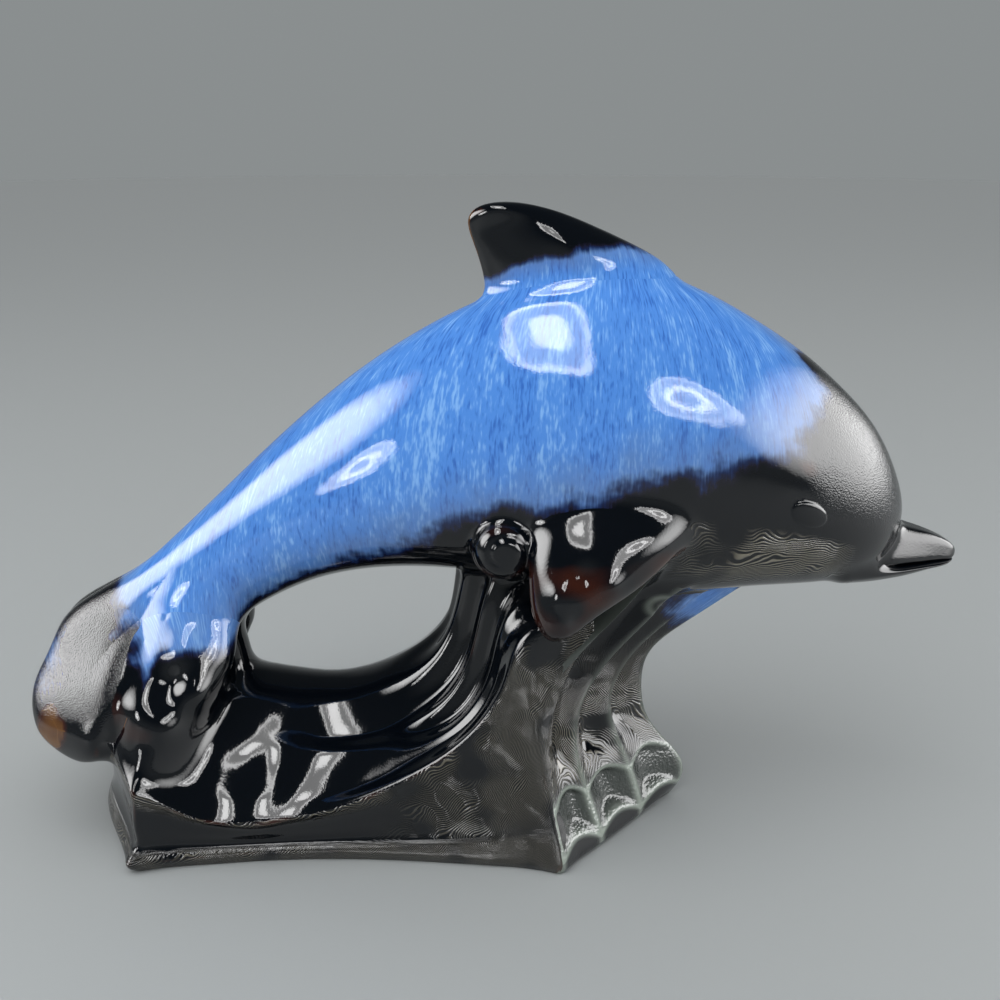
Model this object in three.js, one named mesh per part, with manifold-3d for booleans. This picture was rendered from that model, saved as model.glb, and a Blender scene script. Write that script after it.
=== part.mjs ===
// Ceramic dolphin leaping over a breaking wave, as the cast and pressed parts that a potter lutes together.
// Millimetres. +X is the way the dolphin swims, +Z is up, and -Y is the dolphin's right-hand side.
import * as THREE from 'three';
import { mergeVertices } from 'three/addons/utils/BufferGeometryUtils.js';
import Module from 'manifold-3d';

const wasm = await Module();
wasm.setup();

// Casting
const clearance = 0.3;
const wall = 5;
const drainBore = 12;

// Dolphin
const bodyLength = 231.4;
const backHeight = 155.8;
const bodyWidth = 64;
const bodyFlare = 0.12;
const finLength = 46;
const finHeight = 17.5;
const finThickness = 15;
const flipperLength = 32;
const flipperRoot = 38;
const flipperThickness = 15;
const flukeLength = 45;
const flukeChord = 23;
const flukeThickness = 12;
const beakLength = 16.5;
const beakWidth = 20;
const beakThickness = 9.5;
const mouthDrop = 12.5;
const jawLength = 17;
const jawWidth = 18;
const jawThickness = 7;
const eyeLength = 10;
const eyeHeight = 5.6;
const eyeBulge = 1.2;

// Wave
const waveWidth = 84;
const footRoll = 3;
const fluteDepth = 3;
const curlDiameter = 16;
const foamThickness = 15;
const postLength = 7;
const postWidth = 11;

// Fineness of the surfaces
const ringSides = 26;
const limbSides = 14;

const glazeBlue = 0x3f6fc4;
const glazeBlack = 0x0d0f14;

const vector = (x, y, z) => new THREE.Vector3(x, y, z);

// The side view is drawn in hundredths of the body's length and of the back's height above the table
const along = (share) => (share / 100) * bodyLength;
const up = (share) => (share / 100) * backHeight;
const rollLevel = (100 * footRoll) / backHeight;

// A smooth curve through points, read at evenly spaced shares of its points
function readCurve(points, steps) {
  const curve = new THREE.CatmullRomCurve3(points, false, 'catmullrom', 0.5);
  return Array.from({ length: steps + 1 }, (_, i) => curve.getPoint(i / steps));
}

// A closed surface through rings of points, with each end drawn to a pole
function loft(rings, startPole, endPole) {
  const sides = rings[0].length;
  const positions = [];
  const triangle = (a, b, c) => positions.push(...a.toArray(), ...b.toArray(), ...c.toArray());
  for (let i = 0; i + 1 < rings.length; i += 1) {
    for (let j = 0; j < sides; j += 1) {
      const k = (j + 1) % sides;
      triangle(rings[i][j], rings[i + 1][j], rings[i + 1][k]);
      triangle(rings[i][j], rings[i + 1][k], rings[i][k]);
    }
  }
  const first = rings[0];
  const last = rings[rings.length - 1];
  for (let j = 0; j < sides; j += 1) {
    const k = (j + 1) % sides;
    triangle(startPole, first[j], first[k]);
    triangle(endPole, last[k], last[j]);
  }
  return closeUp(positions);
}

// Merges shared corners, drops triangles of no area and turns the faces outwards
function closeUp(positions) {
  const loose = new THREE.BufferGeometry();
  loose.setAttribute('position', new THREE.Float32BufferAttribute(positions, 3));
  const merged = mergeVertices(loose, 1e-4);
  const index = merged.index.array;
  const kept = [];
  for (let i = 0; i < index.length; i += 3) {
    const [a, b, c] = [index[i], index[i + 1], index[i + 2]];
    if (a !== b && b !== c && c !== a) kept.push(a, b, c);
  }
  const places = merged.attributes.position;
  let volume = 0;
  const corner = (n) => vector().fromBufferAttribute(places, n);
  for (let i = 0; i < kept.length; i += 3) {
    volume += corner(kept[i]).dot(corner(kept[i + 1]).cross(corner(kept[i + 2])));
  }
  if (volume < 0) {
    for (let i = 0; i < kept.length; i += 3) [kept[i + 1], kept[i + 2]] = [kept[i + 2], kept[i + 1]];
  }
  merged.setIndex(kept);
  return merged;
}

// Unit normals at the corners, each face weighted by its angle there, so that small faces count in full
function cornerNormals(geometry) {
  const places = geometry.attributes.position;
  const index = geometry.index.array;
  const normals = Array.from({ length: places.count }, () => vector(0, 0, 0));
  for (let i = 0; i < index.length; i += 3) {
    const corners = [0, 1, 2].map((n) => vector().fromBufferAttribute(places, index[i + n]));
    for (let n = 0; n < 3; n += 1) {
      const next = corners[(n + 1) % 3].clone().sub(corners[n]);
      const last = corners[(n + 2) % 3].clone().sub(corners[n]);
      const face = next.clone().cross(last).normalize();
      normals[index[i + n]].addScaledVector(face, next.angleTo(last));
    }
  }
  return normals.map((normal) => normal.normalize());
}

// Moves every corner along its own normal, outwards for a positive distance
function swell(geometry, distance) {
  const grown = geometry.clone();
  const places = grown.attributes.position;
  cornerNormals(grown).forEach((normal, i) => {
    const moved = vector().fromBufferAttribute(places, i).addScaledVector(normal, distance);
    places.setXYZ(i, moved.x, moved.y, moved.z);
  });
  return grown;
}

function toSolid(geometry) {
  const plain = geometry.clone();
  for (const name of Object.keys(plain.attributes)) {
    if (name !== 'position') plain.deleteAttribute(name);
  }
  const merged = mergeVertices(plain, 1e-5);
  return new wasm.Manifold(new wasm.Mesh({
    numProp: 3,
    vertProperties: new Float32Array(merged.attributes.position.array),
    triVerts: new Uint32Array(merged.index.array),
  }));
}

function toGeometry(solid) {
  const mesh = solid.getMesh();
  const geometry = new THREE.BufferGeometry();
  geometry.setAttribute('position', new THREE.Float32BufferAttribute(mesh.vertProperties, mesh.numProp));
  geometry.setIndex(new THREE.Uint32BufferAttribute(mesh.triVerts, 1));
  return geometry;
}

// Takes the cutters, each with a clearance all round, away from a shape
function cut(geometry, cutters, gap = clearance) {
  let solid = toSolid(geometry);
  for (const cutter of cutters) solid = solid.subtract(toSolid(gap ? swell(cutter, gap) : cutter));
  return toGeometry(solid);
}

// The same shape on the other side of the mid-plane
function mirror(geometry) {
  const turned = geometry.clone();
  turned.scale(1, -1, 1);
  const index = turned.index.array.slice();
  for (let i = 0; i < index.length; i += 3) [index[i + 1], index[i + 2]] = [index[i + 2], index[i + 1]];
  turned.setIndex(new THREE.BufferAttribute(index, 1));
  return turned;
}

function cylinder(diameter, bottom, top, x, y) {
  const shape = new THREE.CylinderGeometry(diameter / 2, diameter / 2, top - bottom, 20);
  shape.rotateX(Math.PI / 2);
  shape.translate(x, y, (top + bottom) / 2);
  return shape;
}

// A limb or beak: rows go from root to tip, each with a leading point, a trailing point and a half thickness
// The section is a superellipse, and the thickness stands square to the blade, or along `across` if given
function blade(rows, { steps = 10, sides = limbSides, power = 2, across = null, flare = 0, inset = 0 } = {}) {
  const lead = readCurve(rows.map((row) => row.lead), steps);
  const trail = readCurve(rows.map((row) => row.trail), steps);
  const half = readCurve(rows.map((row) => vector(row.half, 0, 0)), steps).map((point) => point.x);
  const middle = lead.map((point, i) => point.clone().add(trail[i]).multiplyScalar(0.5));
  const rings = [];
  for (let i = 0; i <= steps; i += 1) {
    const chord = lead[i].clone().sub(trail[i]).multiplyScalar(0.5);
    const along = middle[Math.min(i + 1, steps)].clone().sub(middle[Math.max(i - 1, 0)]);
    const normal = across ? across.clone() : chord.clone().cross(along).normalize();
    const reach = Math.max(chord.length() - inset, 0);
    const thickness = Math.max(half[i] - inset, 0);
    chord.normalize();
    rings.push(Array.from({ length: sides }, (_, j) => {
      const angle = (2 * Math.PI * j) / sides;
      const round = (value) => Math.sign(value) * Math.abs(value) ** (2 / power);
      const rise = round(Math.cos(angle));
      const spread = round(Math.sin(angle)) * (1 - flare * rise);
      const point = middle[i].clone().addScaledVector(chord, reach * rise);
      return point.addScaledVector(normal, thickness * spread);
    }));
  }
  const inner = rings.slice(1, -1);
  return loft(inner, middle[0], middle[steps]);
}

// Outline of the body in the mid-plane from the tail end to the front of the melon: back and belly points in
// hundredths, with the half width there as a share of the widest half
const bodyOutline = [
  { back: [-52.3, 33.7], belly: [-52.3, 33.7], width: 0 },
  { back: [-51.6, 37.2], belly: [-48.2, 29.2], width: 0.17 },
  { back: [-47.8, 41.5], belly: [-42.8, 28.6], width: 0.26 },
  { back: [-44.1, 45.8], belly: [-37.4, 32.4], width: 0.32 },
  { back: [-39.5, 51.9], belly: [-30.3, 38.8], width: 0.4 },
  { back: [-33.3, 60.5], belly: [-21.6, 45.3], width: 0.52 },
  { back: [-25.3, 71.6], belly: [-11.2, 48], width: 0.7 },
  { back: [-16.4, 82.4], belly: [-1.3, 47.1], width: 0.86 },
  { back: [-6.5, 91.5], belly: [7.1, 44.9], width: 0.95 },
  { back: [3.5, 97.6], belly: [14.3, 43.4], width: 1 },
  { back: [13, 100], belly: [19.4, 42.9], width: 1 },
  { back: [21.2, 97.2], belly: [24.2, 43.3], width: 0.96 },
  { back: [28.5, 91.7], belly: [29, 44], width: 0.9 },
  { back: [34.6, 85.8], belly: [33.7, 44.4], width: 0.82 },
  { back: [39.5, 79.6], belly: [38, 44.8], width: 0.72 },
  { back: [43.2, 73.7], belly: [41.7, 45.8], width: 0.59 },
  { back: [45.8, 67.3], belly: [44.7, 48.1], width: 0.42 },
  { back: [47.3, 61.5], belly: [46.7, 52.3], width: 0.22 },
  { back: [47.7, 56.8], belly: [47.7, 56.8], width: 0 },
];

function bodyRows() {
  return bodyOutline.map(({ back, belly, width }) => ({
    lead: vector(along(back[0]), 0, up(back[1])),
    trail: vector(along(belly[0]), 0, up(belly[1])),
    half: (width * bodyWidth) / 2,
  }));
}

const sideways = vector(0, -1, 0);

// The place on the back at a share of the body's length
function backAt(share) {
  return skinAt(share, 0);
}

// A point on the body's right-hand skin, at a share of its length and an angle down from the back
function skinAt(share, angle) {
  const rows = bodyRows();
  const read = (points) => new THREE.CatmullRomCurve3(points, false, 'catmullrom', 0.5).getPoint(share);
  const back = read(rows.map((row) => row.lead));
  const belly = read(rows.map((row) => row.trail));
  const half = read(rows.map((row) => vector(row.half, 0, 0))).x;
  const middle = back.clone().add(belly).multiplyScalar(0.5);
  const rise = Math.cos(angle);
  const spread = Math.sin(angle) * (1 - bodyFlare * rise);
  return middle.addScaledVector(back.clone().sub(belly), rise / 2).addScaledVector(sideways, half * spread);
}

const bodySkin = blade(bodyRows(), { steps: 36, sides: ringSides, across: sideways, flare: bodyFlare });

// Bore of the drain, from the hollow of the crest up through the floor of the body
function drain() {
  const belly = skinAt(0.55, Math.PI).z;
  return cylinder(drainBore, belly - 6 * wall, belly + 4 * wall, along(10.4), 0);
}

function bodyShell() {
  const hollow = blade(bodyRows().slice(3, -1), {
    steps: 22, sides: 18, across: sideways, flare: bodyFlare, inset: wall,
  });
  return cut(cut(bodySkin, [hollow], 0), [drain()], 0);
}

// Dorsal fin, hooked back over its rear edge: places are shares of its length and height from the back
const finOutline = [
  { lead: [0.56, -0.6], trail: [-0.51, -0.75], thick: 0.95 },
  { lead: [0.53, -0.05], trail: [-0.525, -0.25], thick: 1 },
  { lead: [0.36, 0.31], trail: [-0.55, 0.08], thick: 0.92 },
  { lead: [0.09, 0.64], trail: [-0.585, 0.36], thick: 0.8 },
  { lead: [-0.14, 0.87], trail: [-0.615, 0.6], thick: 0.66 },
  { lead: [-0.36, 0.985], trail: [-0.61, 0.8], thick: 0.44 },
  { lead: [-0.53, 0.95], trail: [-0.53, 0.95], thick: 0 },
];

function dorsalFin() {
  const place = backAt(0.53);
  const at = ([along, above]) => vector(place.x + along * finLength, 0, place.z + above * finHeight);
  const rows = finOutline.map((row) => ({
    lead: at(row.lead), trail: at(row.trail), half: (row.thick * finThickness) / 2,
  }));
  return blade(rows, { steps: 12, across: sideways, power: 2.3 });
}

// Right flipper, a thick rounded triangle that hangs from the side of the chest and points down and back
// Shares of the root length along, of the flipper's length down and of its thickness outwards
const flipperOutline = [
  { lead: [0.5, 0.1, -0.75], trail: [-0.5, 0.14, -0.75], thick: 0.85 },
  { lead: [0.5, -0.02, -0.1], trail: [-0.54, 0.02, -0.2], thick: 1 },
  { lead: [0.32, -0.24, 0.22], trail: [-0.57, -0.2, 0.12], thick: 1.06 },
  { lead: [0.1, -0.44, 0.42], trail: [-0.57, -0.42, 0.3], thick: 1.04 },
  { lead: [-0.14, -0.62, 0.58], trail: [-0.55, -0.6, 0.45], thick: 0.92 },
  { lead: [-0.29, -0.75, 0.66], trail: [-0.5, -0.72, 0.56], thick: 0.66 },
  { lead: [-0.42, -0.8, 0.62], trail: [-0.42, -0.8, 0.62], thick: 0 },
];

function rightFlipper() {
  const root = skinAt(0.512, 1.98);
  const at = ([along, up, out]) => vector(
    root.x + along * flipperRoot, root.y - out * flipperThickness, root.z + up * flipperLength,
  );
  const rows = flipperOutline.map((row) => ({
    lead: at(row.lead), trail: at(row.trail), half: (row.thick * flipperThickness) / 2,
  }));
  return blade(rows, { steps: 12, power: 2.5 });
}

// Right fluke, drooping outwards and down from the tail end
// Shares of the chord along the tail, of the length outwards and down
const flukeOutline = [
  { lead: [0.4, 0.02, 0.05], trail: [-0.35, 0.02, 0.02], thick: 0.8 },
  { lead: [0.44, 0.12, -0.04], trail: [-0.62, 0.06, -0.12], thick: 1 },
  { lead: [0.36, 0.28, -0.16], trail: [-0.8, 0.19, -0.29], thick: 0.98 },
  { lead: [0.22, 0.42, -0.36], trail: [-0.82, 0.33, -0.44], thick: 0.94 },
  { lead: [0.06, 0.54, -0.54], trail: [-0.73, 0.45, -0.57], thick: 0.86 },
  { lead: [-0.08, 0.62, -0.66], trail: [-0.57, 0.56, -0.67], thick: 0.66 },
  { lead: [-0.32, 0.64, -0.715], trail: [-0.32, 0.64, -0.715], thick: 0 },
];

function rightFluke() {
  const place = backAt(0.112);
  const at = ([along, out, up]) => vector(
    place.x + along * flukeChord, -out * flukeLength, place.z - flukeThickness / 2 + up * flukeLength,
  );
  const rows = flukeOutline.map((row) => ({
    lead: at(row.lead), trail: at(row.trail), half: (row.thick * flukeThickness) / 2,
  }));
  return blade(rows, { steps: 12, power: 2.3 });
}

// Upper beak and lower jaw: shares of length forwards from the melon and of thickness up from the mouth line
const beakOutline = [
  { lead: [-0.6, 1.2], trail: [-0.7, 0], wide: 1.2 },
  { lead: [-0.2, 1.15], trail: [-0.35, 0], wide: 1.2 },
  { lead: [0.12, 0.98], trail: [0.02, 0], wide: 1 },
  { lead: [0.45, 0.8], trail: [0.38, -0.02], wide: 0.82 },
  { lead: [0.78, 0.55], trail: [0.72, -0.03], wide: 0.64 },
  { lead: [0.96, 0.32], trail: [0.93, -0.02], wide: 0.4 },
  { lead: [1.01, 0.12], trail: [1.01, 0.12], wide: 0 },
];

const jawOutline = [
  { lead: [-0.95, -0.06], trail: [-0.95, -0.6], wide: 1.25 },
  { lead: [-0.4, -0.06], trail: [-0.42, -0.95], wide: 1.15 },
  { lead: [0.1, -0.06], trail: [0.08, -0.88], wide: 0.95 },
  { lead: [0.5, -0.06], trail: [0.48, -0.6], wide: 0.74 },
  { lead: [0.8, -0.06], trail: [0.78, -0.4], wide: 0.52 },
  { lead: [0.94, -0.1], trail: [0.94, -0.1], wide: 0 },
];

function mouth(outline, length, width, thickness) {
  const melon = bodyRows()[bodyOutline.length - 1].lead;
  const mouthLine = melon.z - mouthDrop;
  const rows = outline.map((row) => ({
    lead: vector(melon.x + row.lead[0] * length, 0, mouthLine + row.lead[1] * thickness),
    trail: vector(melon.x + row.trail[0] * length, 0, mouthLine + row.trail[1] * thickness),
    half: (row.wide * width) / 2,
  }));
  return blade(rows, { steps: 12, across: sideways, power: 2.5 });
}

// Right eye, a low almond on the side of the head
function rightEye() {
  const centre = skinAt(0.722, 1.72);
  const ahead = skinAt(0.742, 1.74).sub(centre).normalize();
  const below = skinAt(0.722, 1.85).sub(centre).normalize();
  const outward = ahead.clone().cross(below).normalize();
  if (outward.y > 0) outward.negate();
  const turned = new THREE.Matrix4().makeBasis(ahead, below, outward).setPosition(centre);
  const almond = new THREE.SphereGeometry(1, 14, 8);
  almond.scale(eyeLength / 2, eyeHeight / 2, eyeBulge);
  almond.applyMatrix4(turned);
  return closeUp(Array.from(almond.toNonIndexed().attributes.position.array));
}

// Base: lines that run from the stern, round the right-hand side, to the edge where the prow begins.
// Each point is a hundredth along, a share of the wave's half width, and a hundredth up.
const baseLines = {
  foot: [[-49.3, 0, 0], [-46.2, 0.5, 0], [-42.1, 0.94, 0], [-34.1, 0.87, 0], [-25.9, 0.82, 0],
    [-17.3, 0.81, 0], [-8.2, 0.84, 0], [-1.3, 0.88, 0], [3, 0.91, 0], [6.1, 0.93, 0]],
  roll: [[-49.9, 0, rollLevel], [-46.9, 0.53, rollLevel], [-42.8, 1, rollLevel],
    [-34.4, 0.9, rollLevel], [-25.9, 0.85, rollLevel], [-17.3, 0.84, rollLevel],
    [-8.2, 0.87, rollLevel], [-1.3, 0.91, rollLevel], [3.2, 0.94, rollLevel], [6.9, 0.97, rollLevel]],
  wallLine: [[-49, 0, 12.8], [-46, 0.5, 12.2], [-41.9, 0.93, 7.7], [-34.1, 0.86, 5.8],
    [-26.4, 0.82, 5.5], [-17.7, 0.8, 6.4], [-8.6, 0.81, 9], [-2.2, 0.83, 12.8], [1.7, 0.85, 18],
    [4.5, 0.86, 21.8]],
  lip: [[-48.8, 0, 23.7], [-46.2, 0.52, 21.2], [-41.9, 0.92, 15.1], [-34.8, 0.9, 9.8], [-27.2, 0.88, 9],
    [-19.4, 0.87, 11.2], [-10.4, 0.86, 17], [-3.5, 0.84, 24.7], [0.4, 0.82, 33.7], [3.5, 0.8, 42.4]],
  shelf: [[-47.5, 0, 24.7], [-45.4, 0.46, 23.1], [-41.1, 0.8, 17.7], [-34.6, 0.77, 12.5],
    [-26.8, 0.76, 11.6], [-19.4, 0.75, 12.8], [-10.8, 0.73, 18], [-3.9, 0.7, 24.4], [-0.4, 0.68, 33.4],
    [2.2, 0.66, 43.6]],
  lowBand: [[-45.8, 0, 25.7], [-43.6, 0.36, 25], [-39.8, 0.6, 22.5], [-34.1, 0.59, 18.6],
    [-26.8, 0.58, 17], [-19.9, 0.57, 17], [-11.7, 0.56, 19.9], [-5.2, 0.54, 25], [-1.7, 0.5, 34.7],
    [0.9, 0.46, 46.2]],
  crease: [[-44.1, 0, 26.3], [-41.9, 0.27, 26], [-38.5, 0.44, 24.7], [-33.3, 0.43, 22.1],
    [-26.4, 0.43, 19.6], [-19.9, 0.43, 18.6], [-12.5, 0.42, 20.9], [-6.1, 0.4, 27], [-3, 0.36, 36.6],
    [-0.9, 0.32, 48.1]],
  highBand: [[-41.9, 0, 27], [-39.8, 0.14, 27], [-36.7, 0.24, 26.6], [-32, 0.24, 25.4],
    [-25.5, 0.24, 23.4], [-19.4, 0.24, 23.1], [-12.5, 0.24, 26.3], [-7.3, 0.22, 32.1],
    [-4.8, 0.18, 40.4], [-3, 0.16, 50.7]],
  rim: [[-39.3, 0, 27.6], [-37.6, 0, 27.6], [-35, 0, 27.5], [-30.7, 0, 26.3], [-24.6, 0, 24.9],
    [-18.6, 0, 25], [-13, 0, 28.4], [-8, 0, 34], [-5.8, 0, 41.1], [-4.8, 0, 51.3]],
};

// A point of the wave's right-hand side
function wavePoint([x, share, z]) {
  return vector(along(x), (-share * waveWidth) / 2, up(z));
}

// A point that a curve would carry below the table stays on it
function ontoTable(point) {
  point.z = Math.max(point.z, 0);
  return point;
}

// Rings across the base: up the right-hand side, over the rim and down the left-hand side
function baseRings(lines, steps, across) {
  const read = lines.map((line) => readCurve(line.map(wavePoint), steps));
  const rings = [];
  for (let i = 0; i <= steps; i += 1) {
    const right = readCurve(read.map((line) => line[i]), across).map(ontoTable);
    const left = right.slice(0, -1).reverse().map((point) => vector(point.x, -point.y, point.z));
    rings.push([...right, ...left]);
  }
  return rings;
}

// Closes the last ring of the base with a flat fan about its own middle line
function baseSurface(rings) {
  const last = rings[rings.length - 1];
  const positions = [];
  const triangle = (a, b, c) => positions.push(...a.toArray(), ...b.toArray(), ...c.toArray());
  const sides = last.length;
  for (let i = 0; i + 1 < rings.length; i += 1) {
    for (let j = 0; j < sides; j += 1) {
      const k = (j + 1) % sides;
      triangle(rings[i][j], rings[i + 1][j], rings[i + 1][k]);
      triangle(rings[i][j], rings[i + 1][k], rings[i][k]);
    }
  }
  for (let j = 0; j + 1 < sides / 2; j += 1) {
    const [a, b] = [last[j], last[j + 1]];
    const [c, d] = [last[sides - 1 - j], last[sides - 2 - j]];
    triangle(a, c, b);
    triangle(b, c, d);
  }
  return closeUp(positions);
}

const baseSkin = baseSurface(baseRings(Object.values(baseLines), 27, 16));

// Half width and height of one of the base's lines at a place along it
function baseAt(line, x) {
  const points = line.map(wavePoint);
  const next = Math.max(points.findIndex((point) => point.x > x), 1);
  const [from, to] = [points[next - 1], points[next]];
  const point = from.clone().lerp(to, (x - from.x) / (to.x - from.x));
  return { half: -point.y, z: point.z };
}

// The hollow under the base, a wall's thickness inside its skin and open at the foot
function baseHollow() {
  const { foot, wallLine, lip, crease, rim } = baseLines;
  const stern = along(foot[0][0]) + 2 * wall;
  const bow = along(-5.2);
  const steps = 10;
  const rings = [];
  for (let i = 0; i <= steps; i += 1) {
    const x = stern + ((bow - stern) * i) / steps;
    const sill = baseAt(foot, x).half - wall;
    const side = Math.min(baseAt(wallLine, x).half - wall, sill);
    const shoulder = baseAt(lip, x);
    const fold = baseAt(crease, x);
    const right = [
      vector(x, -sill, -wall),
      vector(x, -side, baseAt(wallLine, x).z * 0.6),
      vector(x, -(shoulder.half - 1.8 * wall), shoulder.z - 0.9 * wall),
      vector(x, -Math.max(fold.half - wall, wall), fold.z - 1.4 * wall),
      vector(x, 0, baseAt(rim, x).z - 1.3 * wall),
    ];
    const left = right.slice(0, -1).reverse().map((point) => vector(point.x, -point.y, point.z));
    rings.push([...right, ...left]);
  }
  return loft(rings, vector(stern, 0, 0), vector(bow, 0, 0));
}

// Crest: the ribs of the prow from the foot up to the collar round the chest, each x, share of half width, z
const crestRibs = [
  [[6.5, 0.93, 0], [7.1, 0.98, rollLevel], [6, 0.9, 9.6], [4.9, 0.83, 18.6], [4.7, 0.79, 27.6],
    [6.7, 0.77, 35.9], [11.7, 0.75, 43.3], [18.6, 0.66, 54.6]],
  [[8.9, 0.8, 0], [9.7, 0.85, rollLevel], [8.2, 0.8, 9.6], [6.5, 0.74, 18.6], [6.7, 0.73, 27.6],
    [9.1, 0.73, 35.9], [14.3, 0.7, 43.3], [20.7, 0.6, 52.6]],
  [[11.2, 0.63, 0], [12.2, 0.67, rollLevel], [10.6, 0.62, 9.3], [9.1, 0.59, 18], [9.5, 0.57, 26.3],
    [12.5, 0.55, 34.7], [17.7, 0.51, 43], [23.3, 0.4, 51.3]],
  [[16.2, 0.3, 0], [17.5, 0.33, rollLevel], [16, 0.32, 10.3], [13.8, 0.32, 19.3], [13.6, 0.32, 26.6],
    [16.4, 0.3, 34], [21, 0.27, 40.4], [26.4, 0.2, 48.8]],
  [[21.8, 0, 0], [23.3, 0, 2 * rollLevel], [22.6, 0, 8.7], [19, 0, 15.4], [17.7, 0, 23.1],
    [18.8, 0, 30.2], [23.3, 0, 36.9], [29.8, 0, 46.2]],
];
const crestBack = [
  [[-0.4, 0, 0], [-0.4, 0, rollLevel], [-0.4, 0, 9.6], [-0.4, 0, 18.6], [-0.4, 0, 27], [-0.9, 0, 34.7],
    [-1.3, 0, 42.4], [1.7, 0, 53.9]],
  [[0.4, 0.5, 0], [0.4, 0.5, rollLevel], [0.4, 0.5, 9.6], [0.4, 0.5, 18.6], [0.4, 0.5, 27],
    [0.9, 0.5, 34.7], [2.2, 0.5, 42.4], [6.1, 0.45, 53.9]],
];

// Rings of the crest, with a round channel between each rib and the next
function crestRings(steps, across) {
  const readLine = (line) => readCurve(line.map(wavePoint), steps).map(ontoTable);
  const ribs = crestRibs.map(readLine);
  const back = crestBack.map(readLine);
  const rings = [];
  for (let i = 0; i <= steps; i += 1) {
    const heart = vector(ribs[0][i].x * 0.55, 0, ribs[0][i].z);
    const right = [back[0][i], back[1][i]];
    for (let r = 0; r + 1 < ribs.length; r += 1) {
      for (let j = 0; j < across; j += 1) {
        const share = j / across;
        const point = ribs[r][i].clone().lerp(ribs[r + 1][i], share);
        const span = ribs[r][i].distanceTo(ribs[r + 1][i]);
        const depth = Math.min(fluteDepth, span / 3) * Math.sin(Math.PI * share);
        right.push(point.addScaledVector(heart.clone().sub(point).normalize(), depth));
      }
    }
    right.push(ribs[ribs.length - 1][i]);
    const left = right.slice(1, -1).reverse().map((point) => vector(point.x, -point.y, point.z));
    rings.push([...right, ...left]);
  }
  return rings;
}

function crestSkin() {
  const rings = crestRings(18, 4);
  const sum = (ring) => ring.reduce((total, point) => total.add(point), vector(0, 0, 0));
  const middle = (ring) => sum(ring).divideScalar(ring.length);
  const foot = middle(rings[0]);
  foot.z = 0;
  return loft(rings, foot, middle(rings[rings.length - 1]));
}

// The hollow of the crest, an oval that narrows upwards, open at the foot and into the drain
function crestHollow() {
  const rows = [
    { lead: [8.6, -6.4], trail: [8.6, -6.4], wide: 0 },
    { lead: [14.3, -3.2], trail: [3, -3.2], wide: 0.5 },
    { lead: [13.8, 2.6], trail: [3, 2.6], wide: 0.48 },
    { lead: [11.7, 15.4], trail: [3, 15.4], wide: 0.43 },
    { lead: [11.2, 25.7], trail: [3.9, 27], wide: 0.38 },
    { lead: [13, 32.1], trail: [7.8, 34.7], wide: 0.26 },
    { lead: [10.4, 38.5], trail: [10.4, 38.5], wide: 0 },
  ].map(({ lead, trail, wide }) => ({
    lead: vector(along(lead[0]), 0, up(lead[1])),
    trail: vector(along(trail[0]), 0, up(trail[1])),
    half: Math.max((wide * waveWidth) / 2 - wall, 0),
  }));
  return blade(rows, { steps: 12, across: sideways });
}

// Scroll of the wave beside the right flipper
function rightCurl() {
  const centre = skinAt(0.423, 2.08);
  const ball = new THREE.SphereGeometry(curlDiameter / 2, 16, 10);
  ball.scale(1, 0.95, 1);
  ball.translate(centre.x, centre.y - curlDiameter * 0.08, centre.z);
  return closeUp(Array.from(ball.toNonIndexed().attributes.position.array));
}

// Splash lobe that carries the tail stock on the right-hand side
function rightFoam() {
  const rows = [
    { lead: [-36.3, 0.19, 39.8], trail: [-38.9, 0.19, 38.5], thick: 0 },
    { lead: [-33.3, 0.31, 36.6], trail: [-41.9, 0.29, 34.7], thick: 0.8 },
    { lead: [-34.1, 0.43, 31.5], trail: [-43.2, 0.43, 28.9], thick: 1 },
    { lead: [-35.9, 0.52, 25], trail: [-43.4, 0.55, 23.1], thick: 1.05 },
    { lead: [-37.6, 0.6, 19.9], trail: [-42.4, 0.64, 18.9], thick: 0.85 },
    { lead: [-39.8, 0.64, 15.4], trail: [-39.8, 0.64, 15.4], thick: 0 },
  ].map(({ lead, trail, thick }) => ({
    lead: wavePoint(lead), trail: wavePoint(trail), half: (thick * foamThickness) / 2,
  }));
  return blade(rows, { steps: 10 });
}

// Strut between the tail stock and the rim
function tailPost() {
  const rows = [
    { x: -32.6, z: 21.2, wide: 0 },
    { x: -32.6, z: 23.1, wide: 1.5 },
    { x: -32.4, z: 27.6, wide: 1.15 },
    { x: -32.7, z: 32.1, wide: 1 },
    { x: -33.5, z: 36.6, wide: 1.25 },
    { x: -34.1, z: 41.1, wide: 1.5 },
    { x: -34.1, z: 42.4, wide: 0 },
  ].map(({ x, z, wide }) => ({
    lead: vector(along(x) + (wide * postLength) / 2, 0, up(z)),
    trail: vector(along(x) - (wide * postLength) / 2, 0, up(z)),
    half: (wide * postWidth) / 2,
  }));
  return blade(rows, { steps: 12, across: sideways });
}

// Clips a right-hand piece a little short of the mid-plane, where its mirror image begins
function rightOfMiddle(geometry) {
  const reach = bodyLength;
  const block = new THREE.BoxGeometry(2 * reach, reach, 2 * reach);
  block.translate(0, (reach - clearance) / 2, 0);
  return cut(geometry, [block], 0);
}

const finShape = dorsalFin();
const flipperShape = rightFlipper();
const flukeShape = rightOfMiddle(rightFluke());
const beakShape = mouth(beakOutline, beakLength, beakWidth, beakThickness);
const jawShape = mouth(jawOutline, jawLength, jawWidth, jawThickness);
const curlShape = rightCurl();
const foamShape = rightOfMiddle(rightFoam());
const crestShape = crestSkin();
const postShape = tailPost();
const both = (shape) => [shape, mirror(shape)];

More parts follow.
